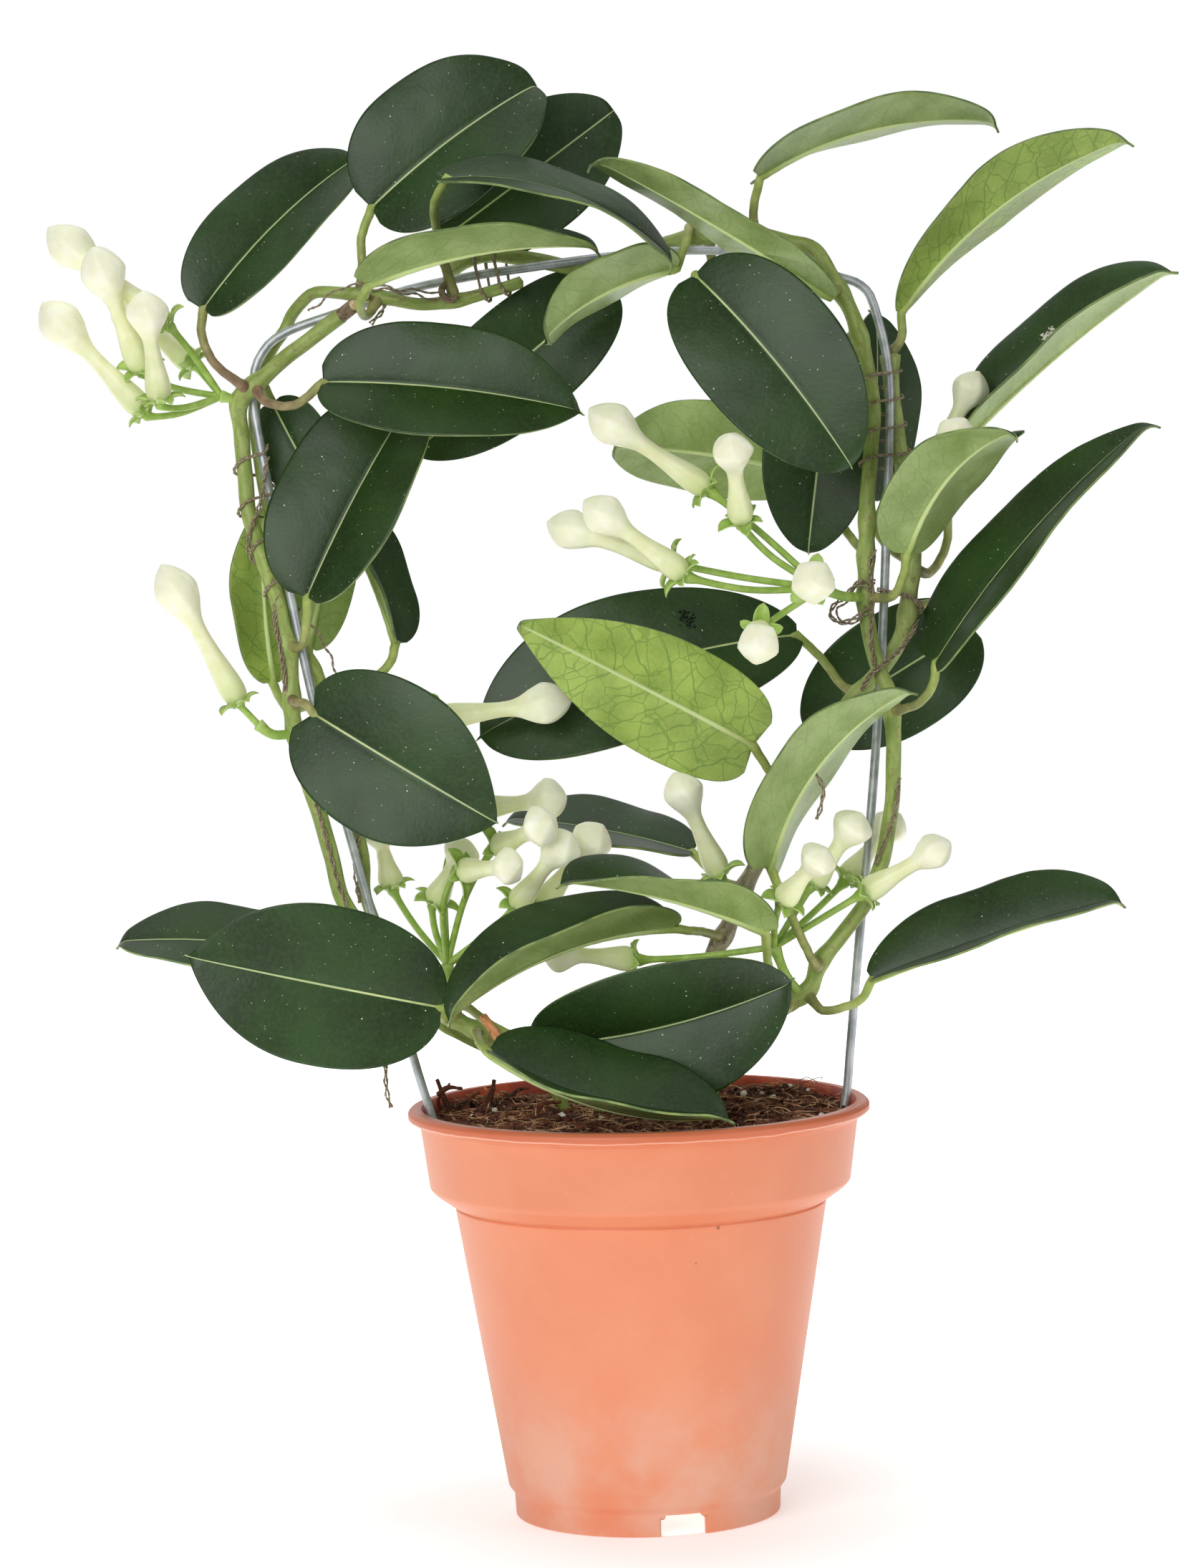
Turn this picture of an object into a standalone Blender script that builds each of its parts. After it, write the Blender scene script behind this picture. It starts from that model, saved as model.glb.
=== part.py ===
"""Madagascar jasmine (Stephanotis floribunda) trained on a wire hoop, growing in its nursery pot.

Metres, +Z up. The origin is the middle of the pot's underside, +X is the plant's right and
-Y its front. Places in the tables are in millimetres.
"""

import math

import bmesh
import bpy
import numpy as np
from mathutils import Vector

MM = 0.001
GAP = 0.35  # clearance between neighbouring pieces
MEET = 0.0004  # points closer than this many millimetres are one point

# Pot, turned about +Z.
POT_HEIGHT = 116.0
LIP_RADIUS = 65.0
LIP_BORE = 60.7
LIP_THICKNESS = 3.6
BAND_TOP_RADIUS = 61.7
BAND_LOW_RADIUS = 59.3
BAND_LOW = 92.5
BODY_TOP = 88.5
BODY_TOP_RADIUS = 52.4
BODY_LOW = 8.5
BODY_LOW_RADIUS = 39.3
FOOT_TOP = 6.5
FOOT_TOP_RADIUS = 37.7
FOOT_RADIUS = 37.4
WALL = 1.6
POT_STEPS = 36
NOTCH_WIDTH = 13.0
NOTCH_ANGLES = (-75.0, 45.0, 165.0)
DRAIN_RADIUS = 4.5
DRAIN_CIRCLE = 22.0

# Potting soil.
SOIL_LEVEL = 111.0
SOIL_FLOOR = BODY_LOW + GAP
SOIL_RINGS = 5
SOIL_SECTORS = POT_STEPS

# Wire, stems, leaf stalks.
WIRE_RADIUS = 1.25
STALK_RADIUS = 1.15
PATH_STEP = 14.0  # length of a tube's straight pieces
BLADE_THICKNESS = 0.8
BLADE_COLUMNS = 4
BLADE_ROWS = 6

HOOP = (
    (-44, -5, 70), (-48, -6, 91), (-55.2, -7, 105), (-58.4, -8, 116), (-62.7, -8, 131),
    (-76.8, -9, 186), (-88.5, -9, 235), (-101.2, -6, 306), (-102.2, -5, 321), (-99.4, -5, 329),
    (-92.8, -4, 334.4), (-76, -4, 340), (-59, -4, 345.2), (-42, -4, 348.4), (-25.4, -3, 350.6),
    (2.4, -3, 353.5), (27.3, -2, 354.1), (47.2, -1, 350.5), (61.5, 0, 346), (67.5, 0, 343.5),
    (71, 0, 337.8), (74.7, 0, 319), (74.2, 0, 293.7), (72.9, 1, 268.9), (71.4, 1, 244.2),
    (69.1, 2, 214.8), (66.2, 2, 185.6), (63.3, 3, 160.3), (60.3, 4, 130.6), (58.6, 4, 115),
    (55.4, 4, 104), (48.3, 3, 91), (43, 3, 70),
)

STEMS = {
    "stem_woody": (
        (6, 19, 84), (6.4, 19, 104), (9, 18, 122), (16, 13, 144), (23, 9, 158), (26, 8, 163), (31, 7, 174.5),
        (35, 7, 182), (44, 6, 199.5), (54, 6, 217.5), (63, 6, 227.6), (68, 6, 232.8), (73.4, 5.5, 239),
        (76.8, 4, 245), (78.7, 2, 251.5), (79.3, 0, 258.5), (79.8, 0, 263), (80.1, 1, 270),
        (79.8, 3.5, 283), (77.5, 5.2, 298), (76, 5.2, 311), (75.4, 5.2, 324),
    ),
    "stem_right": (
        (19, 8, 84), (19.4, 8, 104), (22, 6, 122), (31, 1, 136), (43, -3, 143.5), (48.8, -4, 147.5),
        (51.8, -4, 154.8), (57, -4, 161), (62.3, -4, 167.5), (66, -3.2, 173), (69, -2.6, 180),
        (71.2, -2, 188), (73.2, -1.6, 200.4), (73.8, -2, 215), (73.2, -3.2, 228), (70.6, -4, 235),
        (68.3, -3.6, 243), (67.3, -3, 249.2), (66.8, -2.2, 255), (67, -1.6, 263), (67.6, -1.6, 274),
        (68, -1.6, 284.4), (69.3, -2.2, 298.4), (70, -2.6, 308.7), (69, -3.2, 318), (65.6, -4, 333),
        (59.5, -4.6, 345.4), (54.5, -3.6, 353.6), (47.3, -2.4, 356), (39.8, -1, 357.8), (27.4, 0.6, 358.6),
        (13.4, 2.2, 356.4), (5.3, 2.2, 351.7), (-2.1, 1.8, 349.7), (-12.3, 1.4, 350.4), (-26, 1, 353.4),
        (-36.3, 0, 354.6), (-43.2, 0, 352.8), (-47.4, 0.4, 350.6),
    ),
    "stem_left": (
        (-9, 14, 84), (-9.4, 14, 104), (-12, 8, 118), (-20, -4, 127.4), (-31, -10, 130.4), (-40, -13, 136.4),
        (-50, -14, 142), (-64, -14, 152), (-73.8, -14, 164.2), (-80.4, -13, 175.3), (-82.4, -12.8, 181), (-84, -12.2, 189),
        (-86.4, -11.4, 198.2), (-91.4, -10.6, 215), (-93.8, -10, 228), (-93.8, -9.6, 236.5),
        (-94.2, -9, 245), (-95.6, -9, 252.2), (-97.2, -9, 260), (-101.2, -10, 273.6), (-104.3, -9, 284.7),
        (-105.2, -7, 295.5), (-106, -5.4, 306.3), (-106.5, -7, 313.4), (-104.8, -9, 317.4),
        (-98.5, -10, 322.5), (-92.4, -8.4, 327.6), (-87.3, -8, 331.3), (-81.6, -8, 335.4), (-77, -8, 338.6),
    ),
    "stem_left_back": (
        (-19, 18, 84), (-19.4, 18, 104), (-24, 16, 118), (-38, 9, 129), (-54, 3, 139), (-66, -1, 155), (-74.6, -4, 174.3),
        (-75.2, -4.4, 185), (-76.2, -4.4, 192.3), (-81, -4.6, 215), (-86, -4.6, 236.3), (-89, -4.6, 243),
        (-92, -4.6, 251.3), (-96, -3.6, 267.4), (-99.4, -2.4, 285.6), (-101.6, -1.6, 300), (-102.4, -0.6, 315),
        (-98, 0, 328.4), (-93.4, 0, 335), (-91.5, -0.4, 339), (-88, -1.6, 343), (-84.4, -2.6, 345.2),
        (-77.9, -4, 344.9), (-71.8, -6, 344.2), (-64.2, -8.2, 342.9), (-54, -8.6, 341), (-43.4, -8.4, 342.2),
        (-33.2, -8, 344.7), (-27, -7.6, 346.6),
    ),
}
STEM_RADII = {"stem_woody": 2.3, "stem_right": 2.15, "stem_left": 2.2, "stem_left_back": 1.7}

# name: stem, stalk's bends from the stem to the blade, blade's base, blade's tip, full width, roll
# (0 shows the upper face to the front), arch, fold of the two halves, twist, curl of the tip; then,
# where they aren't usual, where along the blade it is widest, its sideways bow, its basal lobes and
# how it tapers to the tip.
LEAVES = {
    "leaf_01": ("stem_left", ((-105, -13, 320), (-112, -16, 326), (-115.5, -14, 334)),
                (-115, -12, 341), (-71, 13, 384), 31, -28, 14, 30, 0, 0, 0.42, -1),
    "leaf_02": ("stem_left_back", ((-71, -7, 353), (-71, -7, 360)),
                (-68, -6, 368), (-20, 0, 401), 44, -20, 12, 22, 0, 50, 0.44, -1),
    "leaf_03": ("stem_right", ((-49, 6, 353), (-50, 10, 356)),
                (-49, 14, 360), (1, 22, 396), 36, 5, 10, 14, 0, 30),
    "leaf_04": ("stem_left_back", ((-47, -10, 348), (-49, -14, 357), (-50, -27, 367)),
                (-46, -36, 374), (16, -26, 348), 34, -74, 28, 12, 0, 10, 0.46, 0, 0.05),
    "leaf_05": ("stem_left_back", ((-70, -14, 338), (-71, -26, 341)),
                (-68, -34, 346), (-4, -27, 354), 32, -98, 14, 30, -35, 15, 0.42, 0, 0.06),
    "leaf_06": ("stem_left", ((-98, -16, 315), (-90, -19, 314)),
                (-82, -20, 320), (-10, -26, 310), 36, -25, 10, 28, 0, 0, 0.46, -1, 0.015, 0.75),
    "leaf_07": ("stem_right", ((2, 6, 349),),
                (-3, 9, 345), (-60, 6, 299), 33, 0, 10, 14, 0, 0),
    "leaf_08": ("stem_right", ((20, -1, 361), (19, -8, 357)),
                (16, -9, 349), (-21, -27, 329), 32, 110, 20, 18, -20, 20),
    "leaf_09": ("stem_right", ((60, -9, 342),),
                (58, -16, 340), (-9, -40, 376), 25, 110, 4, 12, 0, 60),
    "leaf_10": ("stem_left", ((-90, -15, 248), (-88.5, -19, 255)),
                (-88, -21, 261), (-56, -6, 318), 43, -30, 10, 33, 0, 0),
    "leaf_11": ("stem_right", ((26, 2, 349), (23, -5, 345)),
                (21, -16, 347), (63, -32, 292), 41, 0, 14, 12, 0, 25, 0.46, -2),
    "leaf_12": ("stem_woody", ((80, 8, 266), (73, 18, 272)),
                (69, 29, 284), (73, 34, 338), 32, 45, 10, 14, 0, 0),
    "leaf_13": ("stem_right", ((65, 8, 330),),
                (59.5, 14, 324), (51.5, 11, 268), 32, 8, 10, 14, 0, 10),
    "leaf_14": ("stem_right", ((67, 7, 269), (62, 15, 276)),
                (54, 18, 291), (-4, 4, 300), 32, 150, 14, 22, 0, 15),
    "leaf_15": ("stem_right", ((38, -4, 366),),
                (40, -6, 374), (108, 4, 387), 29, -108, 21, 20, 0, 20, 0.42, 0, 0.04),
    "leaf_16": ("stem_woody", ((79, 7, 329),),
                (79, 8, 336), (144, -4, 382), 32, -120, 22, 23, 0, 15, 0.58, 0, 0.015, 0.7),
    "leaf_17": ("stem_woody", ((86, 10, 263), (91, 15, 271), (92, 18, 284)),
                (97, 20, 300), (156, 10, 347), 34, -74, 6, 54, 0, 0, 0.5),
    "leaf_18": ("stem_right", ((74, -9, 257), (77, -12, 263)),
                (78, -14, 269), (107.5, -42, 301), 34, -128, 30, 16, 0, 30),
    "leaf_19": ("stem_right", ((75, -6, 225), (81, -6, 227), (85, -5, 232)),
                (86, -4, 238), (149, -10, 304), 33, -64, 12, 22, 0, 25, 0.34, 0, 0.015, 0.85),
    "leaf_20": ("stem_woody", ((45, -6, 199), (40, -14, 207)),
                (34, -18, 217), (-31, -36, 253), 34, 176, 10, 8, 0, 60, 0.33, 0, 0.03, 1.0),
    "leaf_21": ("stem_woody", ((60, 12, 232), (55, 13, 239)),
                (48, 13, 246), (-44, 8, 219), 43, 20, 12, 12, 0, 0, 0.55, 4),
    "leaf_22": ("stem_woody", ((84, 10, 254), (93, 16, 253)),
                (98, 22, 247), (49, 26, 218), 36, 0, 10, 12, 0, 0),
    "leaf_23": ("stem_right", ((50, -11, 155), (44.5, -15, 167)),
                (38, -18, 183), (79, -20, 232), 38, -118, 22, 17, 0, 0, 0.36, 4, 0.05),
    "leaf_24": ("stem_woody", ((24, 12, 178),),
                (17, 16, 185), (-37, 26, 195), 33, 72, 8, 16, 0, 0),
    "leaf_25": ("stem_right", ((41, -14, 143), (37, -22, 155)),
                (36, -28, 166), (-21, -34, 182), 34, 100, 10, 34, 50, 0, 0.5, 0, 0.05, 0.45),
    "leaf_26": ("stem_woody", ((19, -2, 164), (15, -8, 165)),
                (11, -11, 166), (-53, -36, 144), 35, 76, 20, 60, 0, 0),
    "leaf_27": ("stem_left", ((-48, -21, 147), (-39, -25, 141)),
                (-28, -26, 136), (44, -33, 153), 43, 13, 6, 30, 0, 0, 0.5, 3),
    "leaf_28": ("stem_left", ((-43.5, -30, 137.5),),
                (-41, -40, 136), (25, -59, 119.5), 42, -70, -24, 47, 0, 0),
    "leaf_29": ("stem_left", ((-53, -20, 143),),
                (-54, -25, 147), (-124, -34, 164), 45, 0, 8, 8, 0, 0, 0.48, 0, 0.015, 0.8),
    "leaf_30": ("stem_left", ((-84, -6, 164),),
                (-92, -5, 161), (-146, -2, 165), 30, 60, 10, 14, 0, 0),
    "leaf_31": ("stem_left", ((-92, -19, 232), (-89.5, -22, 232)),
                (-87, -23, 229), (-36, -36, 198), 44, 0, 12, 12, 0, 20, 0.44, 0, 0.06, 0.85),
    "leaf_32": ("stem_left_back", ((-95, 4, 229), (-98, 5, 232)),
                (-100, 3, 237), (-101, 3, 287), 22, 228, 10, 10, 0, 0),
    "leaf_33": ("stem_left_back", ((-90, 4, 240),),
                (-90, 12, 246), (-80, 30, 290), 18, 180, 8, 10, 0, 0),
    "leaf_34": ("stem_left_back", ((-74, -1, 236), (-67, 0, 241)),
                (-65, 2, 247), (-86, 14, 292), 28, 70, 10, 42, 0, 0),
    "leaf_35": ("stem_left_back", ((-100, 5, 320),),
                (-98, 8, 315), (-84, 3, 288), 22, 10, 8, 10, 0, 0),
    "leaf_36": ("stem_right", ((52, -11, 142), (58, -13, 143), (63, -11, 145)),
                (66, -9, 150), (137, -15, 171), 34, -64, 3, 46, 0, 20, 0.52),
}

# name: stem, peduncle from the stem to its top, buds as (calyx, tip, head's size).
BUDS = {
    "buds_left": ("stem_left", ((-109, -9, 316.5), (-111, -9, 317)), (
        ((-125, -14, 337), (-156, -23, 364), 1.0),
        ((-133, -10, 325), (-143, -31, 358), 1.05),
        ((-132, -12, 313), (-160, -8, 344), 1.0),
        ((-127, -21, 316), (-130, -28, 346), 1.0),
        ((-119, -3, 326), (-141, 3, 345), 0.95),
    )),
    "buds_middle": ("stem_right", ((60, -12, 257.5), (54, -16, 260)), (
        ((23, -22, 288), (-9, -27, 311), 1.0),
        ((32, -26, 279), (29, -42, 303), 0.95),
        ((51, -28, 262), (50, -60, 263), 1.0),
        ((36, -30, 249), (35, -58, 246), 0.95),
        ((13, -18, 268), (-21.5, -14, 280), 0.95),
        ((16, -29, 265), (-11, -37, 286), 0.95),
    )),
    "buds_right": ("stem_right", ((70, 3, 277), (75, 10, 286)), (
        ((92, 6, 292), (92, -22, 303), 0.95),
        ((88, 14, 294), (101, 14, 319), 0.9),
    )),
    "bud_left_low": ("stem_left", ((-99, -14, 223), (-103, -15, 226)), (
        ((-108, -15, 232), (-128, -20, 271), 1.0),
    )),
    "buds_low": ("stem_left_back", ((-52, 7, 143), (-53, 4, 156)), (
        ((-56, -2, 174), (-46, -8, 192), 0.9),
        ((-33, -8, 173), (-17, -20, 194), 1.0),
        ((-26, 0, 172), (-8, -6, 195), 1.0),
        ((-44, 0, 200), (-18, -6, 203), 1.0),
        ((-38, -14, 190), (-22, -28, 198), 1.0),
        ((-48, -16, 184), (-31, -27, 186), 0.9),
        ((-68, 6, 178), (-72, 4, 196), 0.7),
    )),
    "bud_centre": ("stem_left_back", ((-74, 3, 218), (-66, 3, 223)), (
        ((-54, -3, 226), (-16, -6, 230), 1.0),
    )),
    "buds_right_low": ("stem_right", ((42, -9, 152), (39, -10, 160)), (
        ((24, -14, 181), (12, -18, 210), 0.95),
        ((41, -24, 174), (53, -34, 189), 0.9),
        ((50, -8, 177), (64, -13, 197), 1.0),
        ((60, 5, 177), (76, 9, 195), 0.9),
        ((64, -15, 175), (88, -20, 189), 0.85),
        ((0, -6, 157), (-26, -10, 160), 0.9),
    )),
}

# name: bars that the string is wound round, ends of the bundle's middle line there, turns.
TWINES = {
    "twine_left": (("wire_hoop", "stem_left", "stem_left_back"), (-101, -6, 303), (-95, -7, 256), 4),
    "twine_top": (("wire_hoop", "stem_right", "stem_left_back"), (-40, -4, 348), (-29, -4, 350), 2),
    "twine_right": (("wire_hoop", "stem_right", "stem_woody"), (72, -1, 320), (71, -1, 290), 4),
}
TWINE_RADIUS = 0.6
DEAD_STALK = ((-42.4, -25.6, 144.2), (-38.5, -30.5, 139), (-32.5, -36, 129.5))
DEAD_STALK_RADIUS = 1.3

COLOURS = {
    "pot": (0.83, 0.27, 0.13), "soil": (0.05, 0.03, 0.02), "wire": (0.6, 0.62, 0.64),
    "stem": (0.2, 0.33, 0.09), "wood": (0.28, 0.2, 0.13), "leaf": (0.02, 0.075, 0.03), "bud": (0.85, 0.87, 0.6),
    "twine": (0.22, 0.15, 0.08), "dead": (0.55, 0.26, 0.11),
}


def material(name, roughness, metallic=0.0):
    made = bpy.data.materials.new(name)
    made.use_nodes = True
    shader = made.node_tree.nodes["Principled BSDF"]
    shader.inputs["Base Color"].default_value = (*COLOURS[name], 1.0)
    shader.inputs["Roughness"].default_value = roughness
    shader.inputs["Metallic"].default_value = metallic
    return made


def unit(vector):
    return vector / np.linalg.norm(vector)


def smooth_path(points, step):
    """A curve through every point (Catmull-Rom), cut into pieces of about this length."""
    points = np.array(points, float)
    padded = np.vstack([2 * points[0] - points[1], points, 2 * points[-1] - points[-2]])
    path = [points[0]]
    for a, b, c, d in zip(padded, padded[1:], padded[2:], padded[3:]):
        pieces = max(1, round(np.linalg.norm(c - b) / step))
        for i in range(1, pieces + 1):
            t = i / pieces
            bend = (2 * a - 5 * b + 4 * c - d) * t**2 + (3 * b - a - 3 * c + d) * t**3
            path.append(b + ((c - a) * t + bend) / 2)
    return np.array(path)


def mesh_object(name, mesh, where, paint=None):
    made = bpy.data.objects.new(name, mesh)
    where.objects.link(made)
    if paint:
        mesh.materials.append(paint)
    return made


def tube(name, path, radii, where, paint=None, sides_step=1):
    """A round bar along a path, in millimetres, with closed ends, as a mesh."""
    curve = bpy.data.curves.new(name, "CURVE")
    curve.dimensions = "3D"
    curve.bevel_depth = MM
    curve.bevel_resolution = sides_step
    curve.use_fill_caps = True
    spline = curve.splines.new("POLY")
    spline.points.add(len(path) - 1)
    for point, place, radius in zip(spline.points, path, radii):
        point.co = (*(place * MM), 1.0)
        point.radius = radius
    drawn = bpy.data.objects.new(name, curve)
    bpy.context.scene.collection.objects.link(drawn)
    graph = bpy.context.evaluated_depsgraph_get()
    mesh = bpy.data.meshes.new_from_object(drawn.evaluated_get(graph))
    mesh.name = name
    bpy.data.objects.remove(drawn)
    shape = bmesh.new()
    shape.from_mesh(mesh)
    bmesh.ops.remove_doubles(shape, verts=shape.verts, dist=MEET * MM)
    bmesh.ops.triangulate(shape, faces=shape.faces)
    bmesh.ops.recalc_face_normals(shape, faces=shape.faces)
    shape.to_mesh(mesh)
    shape.free()
    mesh.shade_smooth()
    mesh.materials.clear()
    return mesh_object(name, mesh, where, paint)


def stem_path(name):
    return smooth_path(STEMS[name], PATH_STEP)


def stem_foot(name, toward):
    """Where a stalk that heads for a point leaves the stem: its first two points, clear of the bark."""
    path = smooth_path(STEMS[name], 2.0)
    toward = np.array(toward, float)
    nearest = int(np.argmin(np.linalg.norm(path - toward, axis=1)))
    nearest = min(max(nearest, 1), len(path) - 2)
    along = unit(path[nearest + 1] - path[nearest - 1])
    out = toward - path[nearest]
    out = unit(out - along * (out @ along))
    start = STEM_RADII[name] + GAP
    return path[nearest] + out * start, path[nearest] + out * (start + 2.2)


class Blade:
    """A leaf blade's shape as a formula of t, from base 0 to tip 1, and u, from edge -1 to edge 1."""

    def __init__(self, base, tip, width, roll, arch, fold, twist, curl, belly=0.46, bow=0.0, lobe=0.015, taper=0.6):
        self.base, self.tip = np.array(base, float), np.array(tip, float)
        self.width, self.roll, self.twist = width, math.radians(roll), math.radians(twist)
        self.fold, self.bow, self.lobe, self.taper = math.radians(fold), bow, lobe, taper
        self.belly = math.log(0.5) / math.log(belly)
        self.length = np.linalg.norm(self.tip - self.base)
        self.axis = (self.tip - self.base) / self.length
        front = np.array((0.0, -1.0, 0.0))
        self.front = unit(front - self.axis * (front @ self.axis))
        self.up = self.turned(self.roll)
        steps = 60
        t = np.linspace(0, 1, steps + 1)
        slope = math.radians(arch) * (1 - 2 * t) - math.radians(curl) * np.clip((t - 0.86) / 0.14, 0, 1) ** 2
        run = np.concatenate([[0], np.cumsum((np.cos(slope[1:]) + np.cos(slope[:-1])) / 2)]) / steps
        rise = np.concatenate([[0], np.cumsum((np.sin(slope[1:]) + np.sin(slope[:-1])) / 2)]) / steps
        reach = math.hypot(run[-1], rise[-1])
        tilt = math.atan2(rise[-1], run[-1])
        self.t = t
        self.run = (run * math.cos(tilt) + rise * math.sin(tilt)) / reach * self.length
        self.rise = (rise * math.cos(tilt) - run * math.sin(tilt)) / reach * self.length
        self.slope = slope - tilt

    def turned(self, angle):
        side = np.cross(self.axis, self.front)
        return self.front * math.cos(angle) + side * math.sin(angle)

    def rib(self, t):
        """The midrib's place, direction and upward normal at t."""
        run, rise = np.interp(t, self.t, self.run), np.interp(t, self.t, self.rise)
        slope = np.interp(t, self.t, self.slope)
        side = np.cross(self.axis, self.up)
        place = self.base + self.axis * run + self.up * rise + side * self.bow * 4 * t * (1 - t)
        along = self.axis * math.cos(slope) + self.up * math.sin(slope)
        normal = self.up * math.cos(slope) - self.axis * math.sin(slope)
        return place, along, normal

    def half_width(self, t):
        """The outline: an oval with a blunt base and a shortly pointed tip."""
        s = 2 * min(max(t, 0.0), 1.0) ** self.belly - 1
        return self.width / 2 * max(0.0, 1 - abs(s) ** 2.2) ** (0.46 if s < 0 else self.taper)

    def point(self, t, u):
        place, along, normal = self.rib(t)
        side = np.cross(along, normal)
        angle = self.twist * (t - 0.4)
        side, normal = (
            side * math.cos(angle) + normal * math.sin(angle),
            normal * math.cos(angle) - side * math.sin(angle),
        )
        across = abs(u) * self.half_width(t)
        lobe = self.lobe * self.length * u * u * max(0.0, 1 - t / 0.25) ** 2
        opening = self.fold * (1 - 0.35 * abs(u))
        lift = across * math.sin(opening)
        wave = 0.9 * u * u * math.sin(2 * math.pi * (1.6 * t + (0.25 if u > 0 else 0.0)))
        spread = math.copysign(across * math.cos(opening), u)
        return place + side * spread + normal * (lift + wave * math.sin(math.pi * t)) - along * lobe


def rows_of(count):
    """Even steps, drawn together towards both ends."""
    return [0.5 - 0.5 * math.cos(math.pi * i / count) for i in range(count + 1)]


def blade_mesh(name, blade):
    """A grid bent to the blade's formula and split into triangles; its end rows close to points."""
    rows = rows_of(BLADE_ROWS)
    shape = bmesh.new()
    bmesh.ops.create_grid(shape, x_segments=BLADE_COLUMNS, y_segments=BLADE_ROWS, size=0.5)
    for vertex in shape.verts:
        row = round((vertex.co.y + 0.5) * BLADE_ROWS)
        u = 2 * vertex.co.x
        vertex.co = Vector(blade.point(rows[row], u if 0 < row < BLADE_ROWS else 0.0) * MM)
    bmesh.ops.remove_doubles(shape, verts=shape.verts, dist=MEET * MM)
    bmesh.ops.triangulate(shape, faces=shape.faces)
    mesh = bpy.data.meshes.new(name)
    shape.to_mesh(mesh)
    shape.free()
    mesh.shade_smooth()
    return mesh


def leaf(name, stem, bends, blade, where, helpers, paint):
    """One leaf: a thin arched blade joined to its stalk, which runs on as the midrib's root."""
    made = mesh_object(name, blade_mesh(name, blade), where, paint)
    thick = made.modifiers.new("Thickness", "SOLIDIFY")
    thick.thickness = BLADE_THICKNESS * MM
    thick.offset = 0.0
    first, second = stem_foot(stem, bends[0])
    rib, _, rib_up = blade.rib(0.16)
    knots = [first, second, *bends, blade.base, rib - rib_up * 0.4]
    path = smooth_path(knots, 12.0)
    radii = [STALK_RADIUS * (1.0 if i < len(path) - 2 else 0.75) for i in range(len(path))]
    radii[-1] = 0.5
    stalk = tube(name + "_stalk", path, radii, helpers)
    stalk.hide_render = True
    stalk.display_type = "WIRE"
    join = made.modifiers.new("Stalk", "BOOLEAN")
    join.operation = "UNION"
    join.solver = "EXACT"
    join.object = stalk
    return made


def wound(bars, start, end, turns):
    """The path of a string wound round a bundle: at each angle it clears the bar that reaches out furthest."""
    start, end = np.array(start, float), np.array(end, float)
    along = unit(end - start)
    first = unit(np.cross(along, (0.0, 1.0, 0.0)))
    second = np.cross(along, first)
    path = []
    for step in range(8 * turns + 1):
        middle = start + (end - start) * step / (8 * turns)
        turn = math.radians(45.0 * step)
        out = first * math.cos(turn) + second * math.sin(turn)
        reaches = []
        for bar, radius in bars:
            near = bar[np.linalg.norm(bar - middle, axis=1) < 25]
            centre = near[np.argmin(np.abs((near - middle) @ along))]
            reaches.append(((centre - middle) @ out + radius, tuple(centre), radius))
        _, centre, radius = max(reaches)
        place = np.array(centre) + out * (radius + TWINE_RADIUS + 3 * GAP)
        path.append(place - along * ((place - middle) @ along))
    return np.array(path)


# A closed bud along its axis: share of the length, and radius in millimetres.
BUD_PROFILE = (
    (-0.06, 1.1), (0.07, 3.3), (0.16, 2.6), (0.5, 2.3), (0.68, 5.2), (0.79, 6.3),
    (0.91, 4.1), (1.0, 0.4),
)
STALKLET_RADIUS = 1.0


def bud_spray(name, stem, peduncle, buds, where, helpers, paint):
    """One umbel in one body: stalk, stalklets and closed buds."""
    first, second = stem_foot(stem, peduncle[0])
    crown = np.array(peduncle[-1], float)
    path = smooth_path([first, second, *peduncle], 10.0)
    made = tube(name, path, [1.4] * len(path), where, paint)
    pieces = bpy.data.collections.new(name + "_pieces")
    helpers.children.link(pieces)
    for number, (calyx, tip, size) in enumerate(buds, 1):
        calyx, tip = np.array(calyx, float), np.array(tip, float)
        axis = tip - calyx
        out = unit(calyx - crown)
        bend = crown + (calyx - crown) * 0.5 + (out - unit(axis)) * 0.12 * np.linalg.norm(calyx - crown)
        stalk = list(smooth_path([crown - out * 0.6, bend, calyx - 0.1 * axis], 14.0))
        radii = [STALKLET_RADIUS] * len(stalk)
        for share, radius in BUD_PROFILE:
            stalk.append(calyx + axis * share)
            radii.append(radius * size if share > 0.5 else radius)
        part = tube(f"{name}_{number}", np.array(stalk), radii, pieces)
        part.hide_render = True
        part.display_type = "WIRE"
    join = made.modifiers.new("Buds", "BOOLEAN")
    join.operation = "UNION"
    join.solver = "EXACT"
    join.operand_type = "COLLECTION"
    join.collection = pieces
    return made


def turned(name, profile, steps, where, paint=None):
    """A solid turned about +Z from a closed profile of (radius, height)."""
    mesh = bpy.data.meshes.new(name)
    points = [(r * MM, 0.0, z * MM) for r, z in profile]
    edges = [(i, (i + 1) % len(points)) for i in range(len(points))]
    mesh.from_pydata(points, edges, [])
    made = mesh_object(name, mesh, where, paint)
    screw = made.modifiers.new("Turn", "SCREW")
    screw.steps = screw.render_steps = steps
    screw.use_merge_vertices = True
    screw.merge_threshold = 1e-5
    return made


def cutter(made, target, where):
    made.hide_render = True
    made.display_type = "WIRE"
    cut = target.modifiers.new(made.name, "BOOLEAN")
    cut.operation = "DIFFERENCE"
    cut.solver = "EXACT"
    cut.object = made


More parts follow.
